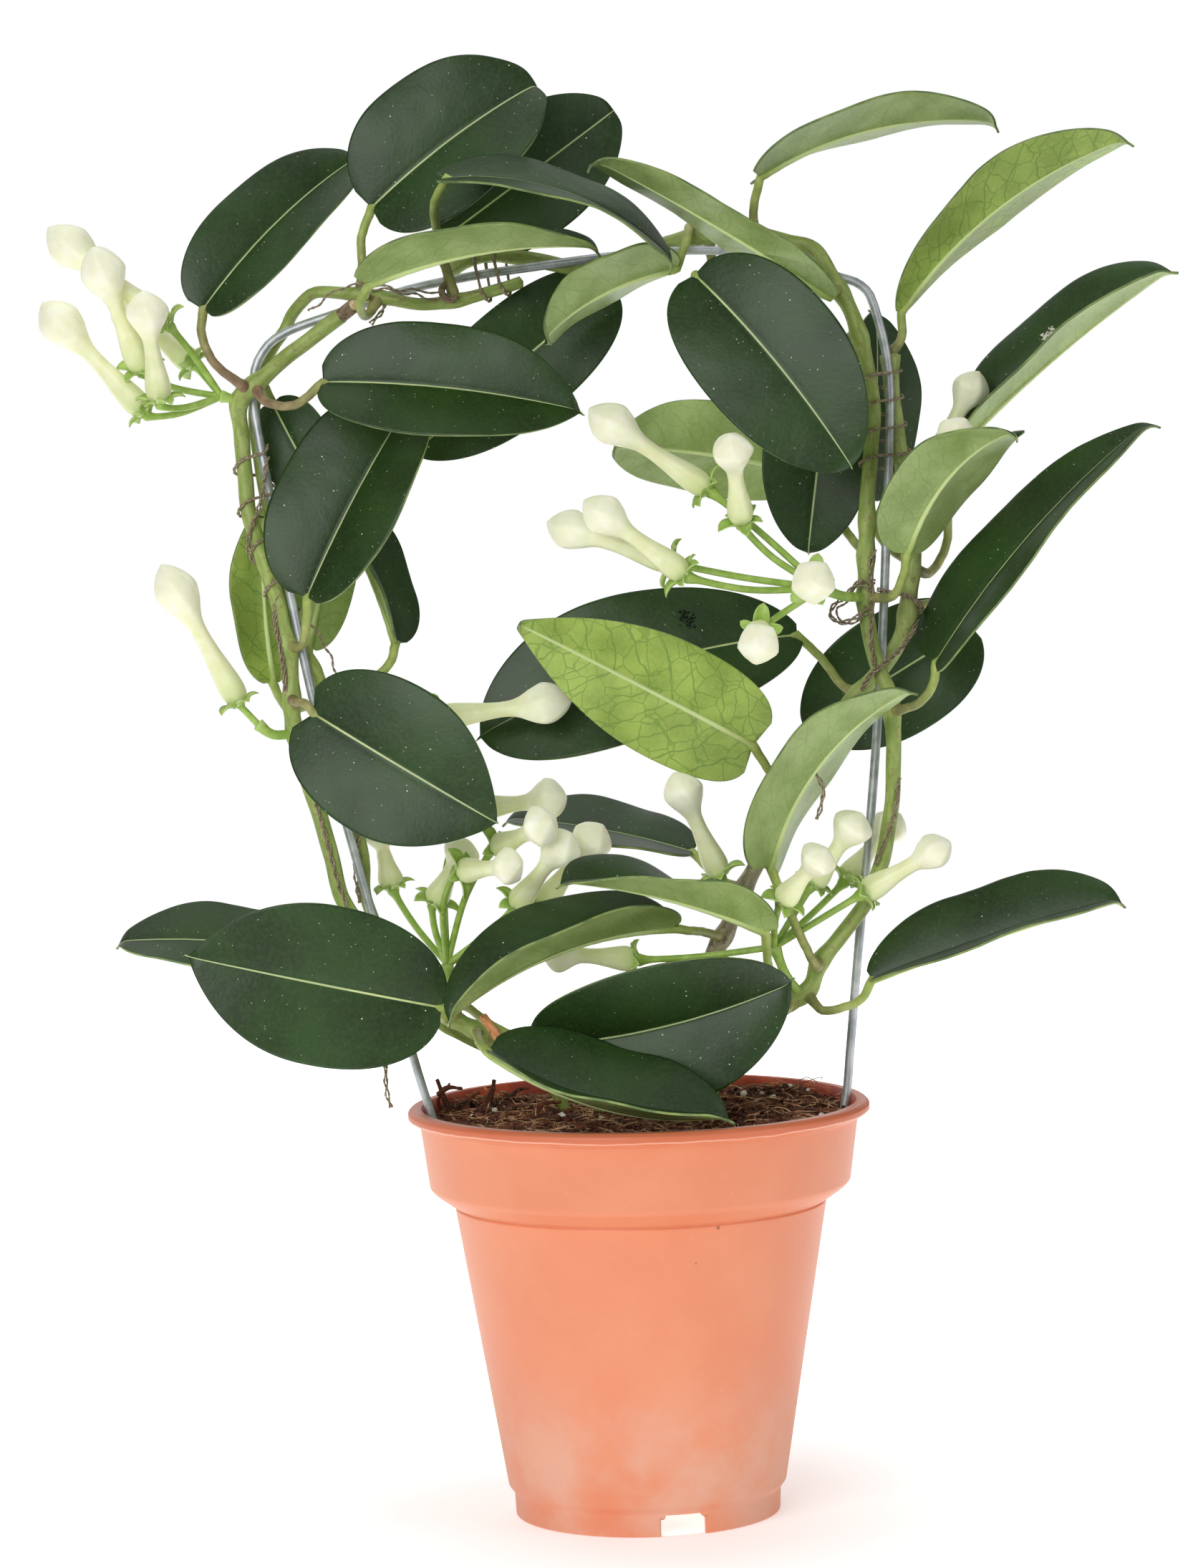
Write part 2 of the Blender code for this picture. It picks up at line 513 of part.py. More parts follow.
def inner_radius(z):
    """The pot's bore at a height."""
    if z > BAND_LOW - 2.0:
        share = (z - BAND_LOW) / (POT_HEIGHT - BAND_LOW)
        return BAND_LOW_RADIUS - WALL + share * (LIP_BORE - BAND_LOW_RADIUS + WALL)
    share = (z - BODY_LOW) / (BODY_TOP - BODY_LOW)
    return BODY_LOW_RADIUS - WALL + share * (BODY_TOP_RADIUS - BODY_LOW_RADIUS)


def pot(where, helpers, paint):
    floor_top = BODY_LOW - 0.1
    profile = (
        (LIP_RADIUS - 1.0, POT_HEIGHT), (LIP_RADIUS, POT_HEIGHT - 1.2),
        (LIP_RADIUS - 0.2, POT_HEIGHT - LIP_THICKNESS + 0.6), (LIP_RADIUS - 1.2, POT_HEIGHT - LIP_THICKNESS),
        (BAND_TOP_RADIUS, POT_HEIGHT - LIP_THICKNESS - 0.8), (BAND_LOW_RADIUS, BAND_LOW + 1.2),
        (BAND_LOW_RADIUS - 1.0, BAND_LOW), (BODY_TOP_RADIUS + 1.2, BODY_TOP + 0.6),
        (BODY_TOP_RADIUS, BODY_TOP - 0.6), (BODY_LOW_RADIUS, BODY_LOW), (FOOT_TOP_RADIUS, FOOT_TOP),
        (FOOT_RADIUS, 0.0), (FOOT_RADIUS - WALL, 0.0), (FOOT_RADIUS - WALL, FOOT_TOP),
        (0.0, FOOT_TOP), (0.0, floor_top), (BODY_LOW_RADIUS - WALL, floor_top),
        (BODY_TOP_RADIUS - WALL, BODY_TOP), (BODY_TOP_RADIUS - WALL + 1.0, BAND_LOW - 2.0),
        (BAND_LOW_RADIUS - WALL, BAND_LOW), (LIP_BORE - 0.4, POT_HEIGHT - 2.5), (LIP_BORE + 0.6, POT_HEIGHT),
    )
    made = turned("pot", profile, POT_STEPS, where, paint)
    for number, angle in enumerate(NOTCH_ANGLES, 1):
        shape = bmesh.new()
        bmesh.ops.create_cube(shape, size=1.0)
        mesh = bpy.data.meshes.new(f"notch_{number}")
        shape.to_mesh(mesh)
        shape.free()
        notch = mesh_object(f"notch_{number}", mesh, helpers)
        turn = math.radians(angle)
        middle = FOOT_RADIUS - WALL / 2
        notch.scale = (10 * MM, NOTCH_WIDTH * MM, 2 * (FOOT_TOP - 0.5) * MM)
        notch.rotation_euler = (0.0, 0.0, turn)
        notch.location = (middle * math.cos(turn) * MM, middle * math.sin(turn) * MM, 0.0)
        cutter(notch, made, helpers)
    for number, angle in enumerate(NOTCH_ANGLES, 1):
        shape = bmesh.new()
        bmesh.ops.create_cone(
            shape, cap_ends=True, segments=8, radius1=DRAIN_RADIUS * MM, radius2=DRAIN_RADIUS * MM, depth=6 * MM
        )
        mesh = bpy.data.meshes.new(f"drain_{number}")
        shape.to_mesh(mesh)
        shape.free()
        drain = mesh_object(f"drain_{number}", mesh, helpers)
        turn = math.radians(angle)
        drain.location = (
            DRAIN_CIRCLE * math.cos(turn) * MM,
            DRAIN_CIRCLE * math.sin(turn) * MM,
            (FOOT_TOP + floor_top) / 2 * MM,
        )
        cutter(drain, made, helpers)
    return made


def soil_height(x, y):
    """The top of the soil in millimetres: rough ground with a rise at the back."""
    r = math.hypot(x, y)
    rough = 0.9 * math.sin(0.31 * x + 1.0) * math.cos(0.27 * y) + 0.7 * math.sin(0.52 * y - 0.4 * x)
    rise = 2.5 * math.exp(-((x - 30) ** 2 + (y - 40) ** 2) / 500)
    rise += 2.0 * math.exp(-((x + 40) ** 2 + (y - 26) ** 2) / 300)
    return SOIL_LEVEL + rough * min(1.0, r / 12) + rise


def soil(where, helpers, paint, standing):
    """The root ball: a drum that fills the pot, its top ring by ring a rough surface, cut for what stands in it."""
    rings = [(inner_radius(z) - GAP, z) for z in (SOIL_FLOOR, BODY_TOP - 1.0)]
    rings += [(inner_radius(BODY_TOP) - GAP, BAND_LOW - 1.4), (inner_radius(BAND_LOW + 1) - GAP - 0.4, BAND_LOW + 1.0)]
    mesh = bpy.data.meshes.new("soil")
    shape = bmesh.new()
    bmesh.ops.create_cone(
        shape, cap_ends=True, segments=SOIL_SECTORS, radius1=MM, radius2=MM, depth=MM
    )
    bmesh.ops.delete(shape, geom=shape.faces[:], context="FACES_ONLY")
    bmesh.ops.delete(shape, geom=shape.verts[:], context="VERTS")

    def ring(radius, height):
        made = []
        for i in range(SOIL_SECTORS):
            turn = 2 * math.pi * i / SOIL_SECTORS
            x, y = radius * math.cos(turn), radius * math.sin(turn)
            z = height if height is not None else soil_height(x, y)
            made.append(shape.verts.new((x * MM, y * MM, z * MM)))
        return made

    top_radius = inner_radius(SOIL_LEVEL - 3) - GAP
    loops = [ring(*place) for place in rings]
    for i in range(SOIL_RINGS):
        loops.append(ring(top_radius * (1 - i / SOIL_RINGS), None))
    bottom = shape.verts.new((0.0, 0.0, SOIL_FLOOR * MM))
    middle = shape.verts.new((0.0, 0.0, soil_height(0.0, 0.0) * MM))
    for low, high in zip(loops, loops[1:]):
        for i in range(SOIL_SECTORS):
            j = (i + 1) % SOIL_SECTORS
            shape.faces.new((low[i], low[j], high[j]))
            shape.faces.new((low[i], high[j], high[i]))
    for i in range(SOIL_SECTORS):
        j = (i + 1) % SOIL_SECTORS
        shape.faces.new((bottom, loops[0][j], loops[0][i]))
        shape.faces.new((middle, loops[-1][i], loops[-1][j]))
    bmesh.ops.recalc_face_normals(shape, faces=shape.faces)
    shape.to_mesh(mesh)
    shape.free()
    made = mesh_object("soil", mesh, where, paint)
    for name, path, radius in standing:
        near = [place for place in path if place[2] < SOIL_LEVEL + 25]
        low = min(near[0], near[-1], key=lambda place: place[2])
        down = unit(low - (near[1] if low is near[0] else near[-2])) * 1.5
        points = [low + down, *near[1:]] if low is near[0] else [*near[:-1], low + down]
        hole = tube(f"{name}_hole", np.array(points), [radius + GAP] * len(points), helpers)
        cutter(hole, made, helpers)
    return made


def main():
    for old in list(bpy.data.objects):
        bpy.data.objects.remove(old)
    plant = bpy.data.collections.new("madagascar_jasmine")
    helpers = bpy.data.collections.new("helpers")
    bpy.context.scene.collection.children.link(plant)
    bpy.context.scene.collection.children.link(helpers)
    pot(plant, helpers, material("pot", 0.45))
    wire = material("wire", 0.35, 0.9)
    hoop = smooth_path(HOOP, PATH_STEP)
    half = len(hoop) // 2
    tube("wire_hoop", hoop, [WIRE_RADIUS] * len(hoop), plant, wire)
    green, wood = material("stem", 0.6), material("wood", 0.8)
    standing = []
    for name in STEMS:
        path = stem_path(name)
        radius = STEM_RADII[name]
        tube(name, path, [radius] * len(path), plant, wood if name == "stem_woody" else green)
        standing.append((name, path, radius))
    standing.append(("hoop_left", hoop[:half], WIRE_RADIUS))
    standing.append(("hoop_right", hoop[half:], WIRE_RADIUS))
    soil(plant, helpers, material("soil", 0.95), standing)
    string = material("twine", 0.9)
    bars = {name: (smooth_path(points, 0.5), STEM_RADII[name]) for name, points in STEMS.items()}
    bars["wire_hoop"] = (smooth_path(HOOP, 0.5), WIRE_RADIUS)
    for name, (held, start, end, turns) in TWINES.items():
        path = wound([bars[bar] for bar in held], start, end, turns)
        tube(name, path, [TWINE_RADIUS] * len(path), plant, string, 0)
    dead = smooth_path(DEAD_STALK, 8.0)
    tube("stalk_dead", dead, [DEAD_STALK_RADIUS] * len(dead), plant, material("dead", 0.8))
    foliage = material("leaf", 0.35)
    for name, (stem, bends, *shape) in LEAVES.items():
        leaf(name, stem, bends, Blade(*shape), plant, helpers, foliage)
    cream = material("bud", 0.5)
    for name, facts in BUDS.items():
        bud_spray(name, *facts, plant, helpers, cream)


main()
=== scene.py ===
"""Looks for the madagascar jasmine in its pot: fine leaves, buds, stems, wire, string, soil and pot.

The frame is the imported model's: metres, +Z up, -Y towards the camera. Places in the tables are
in millimetres and are the same as in the part's source.
"""

import math
import random

import bmesh
import bpy
import numpy as np
from mathutils import Matrix, Vector, noise


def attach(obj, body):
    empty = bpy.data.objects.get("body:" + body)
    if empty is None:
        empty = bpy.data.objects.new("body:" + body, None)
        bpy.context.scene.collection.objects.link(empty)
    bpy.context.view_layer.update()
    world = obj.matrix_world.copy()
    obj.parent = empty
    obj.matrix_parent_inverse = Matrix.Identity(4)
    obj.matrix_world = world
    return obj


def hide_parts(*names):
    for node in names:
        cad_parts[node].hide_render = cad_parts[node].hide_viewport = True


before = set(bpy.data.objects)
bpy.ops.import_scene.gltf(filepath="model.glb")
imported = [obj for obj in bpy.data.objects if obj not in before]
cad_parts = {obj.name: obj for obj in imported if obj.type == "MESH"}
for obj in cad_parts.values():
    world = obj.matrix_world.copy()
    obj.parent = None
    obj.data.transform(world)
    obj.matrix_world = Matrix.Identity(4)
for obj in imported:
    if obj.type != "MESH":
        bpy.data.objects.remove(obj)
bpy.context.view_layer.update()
MM = 0.001

# Camera: where it stands, how it is turned, and its lens for a 36 mm sensor.
CAMERA_PLACE = (-0.0045, -1.3839, 0.3002)
CAMERA_DOWN = 0.0679
CAMERA_YAW = -0.0027
CAMERA_ROLL = -0.0247
CAMERA_LENS = 113.5

# Pot, turned about +Z.
POT_HEIGHT = 116.0
LIP_RADIUS = 65.0
LIP_BORE = 60.7
LIP_THICKNESS = 3.6
BAND_TOP_RADIUS = 61.7
BAND_LOW_RADIUS = 59.3
BAND_LOW = 92.5
BODY_TOP = 88.5
BODY_TOP_RADIUS = 52.4
BODY_LOW = 8.5
BODY_LOW_RADIUS = 39.3
FOOT_TOP = 6.5
FOOT_TOP_RADIUS = 37.7
FOOT_RADIUS = 37.4
WALL = 1.6
NOTCH_WIDTH = 13.0
NOTCH_ANGLES = (-75.0, 45.0, 165.0)
DRAIN_RADIUS = 4.5
DRAIN_CIRCLE = 22.0

# Potting soil.
SOIL_LEVEL = 111.0

# Wire and stems.
WIRE_RADIUS = 1.25

HOOP = (
    (-44, -5, 70), (-48, -6, 91), (-55.2, -7, 105), (-58.4, -8, 116), (-62.7, -8, 131),
    (-76.8, -9, 186), (-88.5, -9, 235), (-101.2, -6, 306), (-102.2, -5, 321), (-99.4, -5, 329),
    (-92.8, -4, 334.4), (-76, -4, 340), (-59, -4, 345.2), (-42, -4, 348.4), (-25.4, -3, 350.6),
    (2.4, -3, 353.5), (27.3, -2, 354.1), (47.2, -1, 350.5), (61.5, 0, 346), (67.5, 0, 343.5),
    (71, 0, 337.8), (74.7, 0, 319), (74.2, 0, 293.7), (72.9, 1, 268.9), (71.4, 1, 244.2),
    (69.1, 2, 214.8), (66.2, 2, 185.6), (63.3, 3, 160.3), (60.3, 4, 130.6), (58.6, 4, 115),
    (55.4, 4, 104), (48.3, 3, 91), (43, 3, 70),
)

STEMS = {
    "stem_woody": (
        (6, 19, 84), (6.4, 19, 104), (9, 18, 122), (16, 13, 144), (23, 9, 158), (26, 8, 163),
        (31, 7, 174.5), (35, 7, 182), (44, 6, 199.5), (54, 6, 217.5), (63, 6, 227.6), (68, 6, 232.8),
        (73.4, 5.5, 239), (76.8, 4, 245), (78.7, 2, 251.5), (79.3, 0, 258.5), (79.8, 0, 263),
        (80.1, 1, 270), (79.8, 3.5, 283), (77.5, 5.2, 298), (76, 5.2, 311), (75.4, 5.2, 324),
    ),
    "stem_right": (
        (19, 8, 84), (19.4, 8, 104), (22, 6, 122), (31, 1, 136), (43, -3, 143.5), (48.8, -4, 147.5),
        (51.8, -4, 154.8), (57, -4, 161), (62.3, -4, 167.5), (66, -3.2, 173), (69, -2.6, 180),
        (71.2, -2, 188), (73.2, -1.6, 200.4), (73.8, -2, 215), (73.2, -3.2, 228), (70.6, -4, 235),
        (68.3, -3.6, 243), (67.3, -3, 249.2), (66.8, -2.2, 255), (67, -1.6, 263), (67.6, -1.6, 274),
        (68, -1.6, 284.4), (69.3, -2.2, 298.4), (70, -2.6, 308.7), (69, -3.2, 318), (65.6, -4, 333),
        (59.5, -4.6, 345.4), (54.5, -3.6, 353.6), (47.3, -2.4, 356), (39.8, -1, 357.8),
        (27.4, 0.6, 358.6), (13.4, 2.2, 356.4), (5.3, 2.2, 351.7), (-2.1, 1.8, 349.7),
        (-12.3, 1.4, 350.4), (-26, 1, 353.4), (-36.3, 0, 354.6), (-43.2, 0, 352.8),
        (-47.4, 0.4, 350.6),
    ),
    "stem_left": (
        (-9, 14, 84), (-9.4, 14, 104), (-12, 8, 118), (-20, -4, 127.4), (-31, -10, 130.4),
        (-40, -13, 136.4), (-50, -14, 142), (-64, -14, 152), (-73.8, -14, 164.2), (-80.4, -13, 175.3),
        (-82.4, -12.8, 181), (-84, -12.2, 189), (-86.4, -11.4, 198.2), (-91.4, -10.6, 215),
        (-93.8, -10, 228), (-93.8, -9.6, 236.5), (-94.2, -9, 245), (-95.6, -9, 252.2),
        (-97.2, -9, 260), (-101.2, -10, 273.6), (-104.3, -9, 284.7), (-105.2, -7, 295.5),
        (-106, -5.4, 306.3), (-106.5, -7, 313.4), (-104.8, -9, 317.4), (-98.5, -10, 322.5),
        (-92.4, -8.4, 327.6), (-87.3, -8, 331.3), (-81.6, -8, 335.4), (-77, -8, 338.6),
    ),
    "stem_left_back": (
        (-19, 18, 84), (-19.4, 18, 104), (-24, 16, 118), (-38, 9, 129), (-54, 3, 139), (-66, -1, 155),
        (-74.6, -4, 174.3), (-75.2, -4.4, 185), (-76.2, -4.4, 192.3), (-81, -4.6, 215),
        (-86, -4.6, 236.3), (-89, -4.6, 243), (-92, -4.6, 251.3), (-96, -3.6, 267.4),
        (-99.4, -2.4, 285.6), (-101.6, -1.6, 300), (-102.4, -0.6, 315), (-98, 0, 328.4),
        (-93.4, 0, 335), (-91.5, -0.4, 339), (-88, -1.6, 343), (-84.4, -2.6, 345.2),
        (-77.9, -4, 344.9), (-71.8, -6, 344.2), (-64.2, -8.2, 342.9), (-54, -8.6, 341),
        (-43.4, -8.4, 342.2), (-33.2, -8, 344.7), (-27, -7.6, 346.6),
    ),
}
STEM_RADII = {"stem_woody": 2.3, "stem_right": 2.15, "stem_left": 2.2, "stem_left_back": 1.7}

# name: stem, stalk's bends from the stem to the blade, blade's base, blade's tip, full width, roll
# (0 shows the upper face to the front), arch, fold of the two halves, twist, curl of the tip; then,
# where they aren't usual, where along the blade it is widest, its sideways bow, its basal lobes and
# how it tapers to the tip.
LEAVES = {
    "leaf_01": ("stem_left", ((-105, -13, 320), (-112, -16, 326), (-115.5, -14, 334)),
        (-115, -12, 341), (-71, 13, 384), 31, -28, 14, 30, 0, 0, 0.42, -1),
    "leaf_02": ("stem_left_back", ((-71, -7, 353), (-71, -7, 360)),
        (-68, -6, 368), (-20, 0, 401), 44, -20, 12, 22, 0, 50, 0.44, -1),
    "leaf_03": ("stem_right", ((-49, 6, 353), (-50, 10, 356)),
        (-49, 14, 360), (1, 22, 396), 36, 5, 10, 14, 0, 30),
    "leaf_04": ("stem_left_back", ((-47, -10, 348), (-49, -14, 357), (-50, -27, 367)),
        (-46, -36, 374), (16, -26, 348), 34, -74, 28, 12, 0, 10, 0.46, 0, 0.05),
    "leaf_05": ("stem_left_back", ((-70, -14, 338), (-71, -26, 341)),
        (-68, -34, 346), (-4, -27, 354), 32, -98, 14, 30, -35, 15, 0.42, 0, 0.06),
    "leaf_06": ("stem_left", ((-98, -16, 315), (-90, -19, 314)),
        (-82, -20, 320), (-10, -26, 310), 36, -25, 10, 28, 0, 0, 0.46, -1, 0.015, 0.75),
    "leaf_07": ("stem_right", ((2, 6, 349),),
        (-3, 9, 345), (-60, 6, 299), 33, 0, 10, 14, 0, 0),
    "leaf_08": ("stem_right", ((20, -1, 361), (19, -8, 357)),
        (16, -9, 349), (-21, -27, 329), 32, 110, 20, 18, -20, 20),
    "leaf_09": ("stem_right", ((60, -9, 342),),
        (58, -16, 340), (-9, -40, 376), 25, 110, 4, 12, 0, 60),
    "leaf_10": ("stem_left", ((-90, -15, 248), (-88.5, -19, 255)),
        (-88, -21, 261), (-56, -6, 318), 43, -30, 10, 33, 0, 0),
    "leaf_11": ("stem_right", ((26, 2, 349), (23, -5, 345)),
        (21, -16, 347), (63, -32, 292), 41, 0, 14, 12, 0, 25, 0.46, -2),
    "leaf_12": ("stem_woody", ((80, 8, 266), (73, 18, 272)),
        (69, 29, 284), (73, 34, 338), 32, 45, 10, 14, 0, 0),
    "leaf_13": ("stem_right", ((65, 8, 330),),
        (59.5, 14, 324), (51.5, 11, 268), 32, 8, 10, 14, 0, 10),
    "leaf_14": ("stem_right", ((67, 7, 269), (62, 15, 276)),
        (54, 18, 291), (-4, 4, 300), 32, 150, 14, 22, 0, 15),
    "leaf_15": ("stem_right", ((38, -4, 366),),
        (40, -6, 374), (108, 4, 387), 29, -108, 21, 20, 0, 20, 0.42, 0, 0.04),
    "leaf_16": ("stem_woody", ((79, 7, 329),),
        (79, 8, 336), (144, -4, 382), 32, -120, 22, 23, 0, 15, 0.58, 0, 0.015, 0.7),
    "leaf_17": ("stem_woody", ((86, 10, 263), (91, 15, 271), (92, 18, 284)),
        (97, 20, 300), (156, 10, 347), 34, -74, 6, 54, 0, 0, 0.5),
    "leaf_18": ("stem_right", ((74, -9, 257), (77, -12, 263)),
        (78, -14, 269), (107.5, -42, 301), 34, -128, 30, 16, 0, 30),
    "leaf_19": ("stem_right", ((75, -6, 225), (81, -6, 227), (85, -5, 232)),
        (86, -4, 238), (149, -10, 304), 33, -64, 12, 22, 0, 25, 0.34, 0, 0.015, 0.85),
    "leaf_20": ("stem_woody", ((45, -6, 199), (40, -14, 207)),
        (34, -18, 217), (-31, -36, 253), 34, 176, 10, 8, 0, 60, 0.33, 0, 0.03, 1.0),
    "leaf_21": ("stem_woody", ((60, 12, 232), (55, 13, 239)),
        (48, 13, 246), (-44, 8, 219), 43, 20, 12, 12, 0, 0, 0.55, 4),
    "leaf_22": ("stem_woody", ((84, 10, 254), (93, 16, 253)),
        (98, 22, 247), (49, 26, 218), 36, 0, 10, 12, 0, 0),
    "leaf_23": ("stem_right", ((50, -11, 155), (44.5, -15, 167)),
        (38, -18, 183), (79, -20, 232), 38, -118, 22, 17, 0, 0, 0.36, 4, 0.05),
    "leaf_24": ("stem_woody", ((24, 12, 178),),
        (17, 16, 185), (-37, 26, 195), 33, 72, 8, 16, 0, 0),
    "leaf_25": ("stem_right", ((41, -14, 143), (37, -22, 155)),
        (36, -28, 166), (-21, -34, 182), 34, 100, 10, 34, 50, 0, 0.5, 0, 0.05, 0.45),
    "leaf_26": ("stem_woody", ((19, -2, 164), (15, -8, 165)),
        (11, -11, 166), (-53, -36, 144), 35, 76, 20, 60, 0, 0),
    "leaf_27": ("stem_left", ((-48, -21, 147), (-39, -25, 141)),
        (-28, -26, 136), (44, -33, 153), 43, 13, 6, 30, 0, 0, 0.5, 3),
    "leaf_28": ("stem_left", ((-43.5, -30, 137.5),),
        (-41, -40, 136), (25, -59, 119.5), 42, -70, -24, 47, 0, 0),
    "leaf_29": ("stem_left", ((-53, -20, 143),),
        (-54, -25, 147), (-124, -34, 164), 45, 0, 8, 8, 0, 0, 0.48, 0, 0.015, 0.8),
    "leaf_30": ("stem_left", ((-84, -6, 164),),
        (-92, -5, 161), (-146, -2, 165), 30, 60, 10, 14, 0, 0),
    "leaf_31": ("stem_left", ((-92, -19, 232), (-89.5, -22, 232)),
        (-87, -23, 229), (-36, -36, 198), 44, 0, 12, 12, 0, 20, 0.44, 0, 0.06, 0.85),
    "leaf_32": ("stem_left_back", ((-95, 4, 229), (-98, 5, 232)),
        (-100, 3, 237), (-101, 3, 287), 22, 228, 10, 10, 0, 0),
    "leaf_33": ("stem_left_back", ((-90, 4, 240),),
        (-90, 12, 246), (-80, 30, 290), 18, 180, 8, 10, 0, 0),
    "leaf_34": ("stem_left_back", ((-74, -1, 236), (-67, 0, 241)),
        (-65, 2, 247), (-86, 14, 292), 28, 70, 10, 42, 0, 0),
    "leaf_35": ("stem_left_back", ((-100, 5, 320),),
        (-98, 8, 315), (-84, 3, 288), 22, 10, 8, 10, 0, 0),
    "leaf_36": ("stem_right", ((52, -11, 142), (58, -13, 143), (63, -11, 145)),
        (66, -9, 150), (137, -15, 171), 34, -64, 3, 46, 0, 20, 0.52),
}

# name: stem, peduncle from the stem to its top, buds as (calyx, tip, head's size).
BUDS = {
    "buds_left": ("stem_left", ((-109, -9, 316.5), (-111, -9, 317)), (
        ((-125, -14, 337), (-156, -23, 364), 1.0),
        ((-133, -10, 325), (-143, -31, 358), 1.05),
        ((-132, -12, 313), (-160, -8, 344), 1.0),
        ((-127, -21, 316), (-130, -28, 346), 1.0),
        ((-119, -3, 326), (-141, 3, 345), 0.95),
    )),
    "buds_middle": ("stem_right", ((60, -12, 257.5), (54, -16, 260)), (
        ((23, -22, 288), (-9, -27, 311), 1.0),
        ((32, -26, 279), (29, -42, 303), 0.95),
        ((51, -28, 262), (50, -60, 263), 1.0),
        ((36, -30, 249), (35, -58, 246), 0.95),
        ((13, -18, 268), (-21.5, -14, 280), 0.95),
        ((16, -29, 265), (-11, -37, 286), 0.95),
    )),
    "buds_right": ("stem_right", ((70, 3, 277), (75, 10, 286)), (
        ((92, 6, 292), (92, -22, 303), 0.95),
        ((88, 14, 294), (101, 14, 319), 0.9),
    )),
    "bud_left_low": ("stem_left", ((-99, -14, 223), (-103, -15, 226)), (
        ((-108, -15, 232), (-128, -20, 271), 1.0),
    )),
    "buds_low": ("stem_left_back", ((-52, 7, 143), (-53, 4, 156)), (
        ((-56, -2, 174), (-46, -8, 192), 0.9),
        ((-33, -8, 173), (-17, -20, 194), 1.0),
        ((-26, 0, 172), (-8, -6, 195), 1.0),
        ((-44, 0, 200), (-18, -6, 203), 1.0),
        ((-38, -14, 190), (-22, -28, 198), 1.0),
        ((-48, -16, 184), (-31, -27, 186), 0.9),
        ((-68, 6, 178), (-72, 4, 196), 0.7),
    )),
    "bud_centre": ("stem_left_back", ((-74, 3, 218), (-66, 3, 223)), (
        ((-54, -3, 226), (-16, -6, 230), 1.0),
    )),
    "buds_right_low": ("stem_right", ((42, -9, 152), (39, -10, 160)), (
        ((24, -14, 181), (12, -18, 210), 0.95),
        ((41, -24, 174), (53, -34, 189), 0.9),
        ((50, -8, 177), (64, -13, 197), 1.0),
        ((60, 5, 177), (76, 9, 195), 0.9),
        ((64, -15, 175), (88, -20, 189), 0.85),
        ((0, -6, 157), (-26, -10, 160), 0.9),
    )),
}

# name: bars that the string is wound round, ends of the bundle's middle line there, turns.
TWINES = {
    "twine_left": (("wire_hoop", "stem_left", "stem_left_back"), (-101, -6, 303), (-95, -7, 256), 4),
    "twine_top": (("wire_hoop", "stem_right", "stem_left_back"), (-40, -4, 348), (-29, -4, 350), 2),
    "twine_right": (("wire_hoop", "stem_right", "stem_woody"), (72, -1, 320), (71, -1, 290), 4),
}
# The string's radius as it seats on the bars, and the gap it keeps from them.
TWINE_RADIUS = 0.6
TWINE_GAP = 0.15
# The wound string's own radius in its fine shape, and the steps of its path in a turn.
STRAND_RADIUS = 0.42
WOUND_STEPS = 40
# How near a bar's points have to be to count as part of a bundle.
BUNDLE_REACH = 25
# Loose string: how far its strands lie from their middle line, and their radius.
LOOSE_SPREAD = 0.42
LOOSE_RADIUS = 0.3
DEAD_STALK = ((-42.4, -25.6, 144.2), (-38.5, -30.5, 139), (-32.5, -36, 129.5))
DEAD_STALK_RADIUS = 1.3


# ---------------------------------------------------------------- helpers for shapes

# A direction that no path starts along, to find its first side with.
SIDE_START = (0.31, 0.87, 0.39)
BLANK = (0.0, 0.0, 0.0)
# How far a bar's end bulges, as a share of its radius.
DOME = 0.35


def unit(vector):
    return vector / np.linalg.norm(vector)


def smooth_path(points, step):
    """A curve through every point (Catmull-Rom), cut into pieces of about this length."""
    points = np.array(points, float)
    padded = np.vstack([2 * points[0] - points[1], points, 2 * points[-1] - points[-2]])
    path = [points[0]]
    for a, b, c, d in zip(padded, padded[1:], padded[2:], padded[3:]):
        pieces = max(1, round(np.linalg.norm(c - b) / step))
        for i in range(1, pieces + 1):
            t = i / pieces
            bend = (2 * a - 5 * b + 4 * c - d) * t**2 + (3 * b - a - 3 * c + d) * t**3
            path.append(b + ((c - a) * t + bend) / 2)
    return np.array(path)


def lengths_along(path):
    return np.concatenate([[0], np.cumsum(np.linalg.norm(np.diff(path, axis=0), axis=1))])


def frames_along(path):
    """The direction at each point of a path, and a side and another across it that never spin."""
    along = np.gradient(path, axis=0)
    along /= np.linalg.norm(along, axis=1)[:, None]
    side = unit(np.cross(along[0], SIDE_START))
    frames = []
    for way in along:
        side = unit(side - way * (side @ way))
        frames.append((way, side, np.cross(way, side)))
    return frames


def ring_faces(rings, sides):
    """The faces between rings of points that follow each other."""
    faces = []
    for start in range(0, (rings - 1) * sides, sides):
        for k in range(sides):
            j = (k + 1) % sides
            faces.append((start + k, start + j, start + sides + j, start + sides + k))
    return faces


def end_faces(low, high, last, sides):
    """The fans that close a stack of rings: from point low to the first ring, from high to the last."""
    faces = []
    for k in range(sides):
        j = (k + 1) % sides
        faces += [(low, j, k), (high, last + k, last + j)]
    return faces


def knob(path, reach):
    """1 at the end of a path and falling away from it, over this share of its length."""
    last = len(path) - 1
    return [math.exp(-(((1 - i / last) / reach) ** 2)) for i in range(last + 1)]


def rough(place, size, seed=0.0):
    """Smooth noise from -1 to 1 with features of about this size in millimetres."""
    return noise.noise(Vector(place) / size + Vector((seed, seed * 0.7, -seed)))


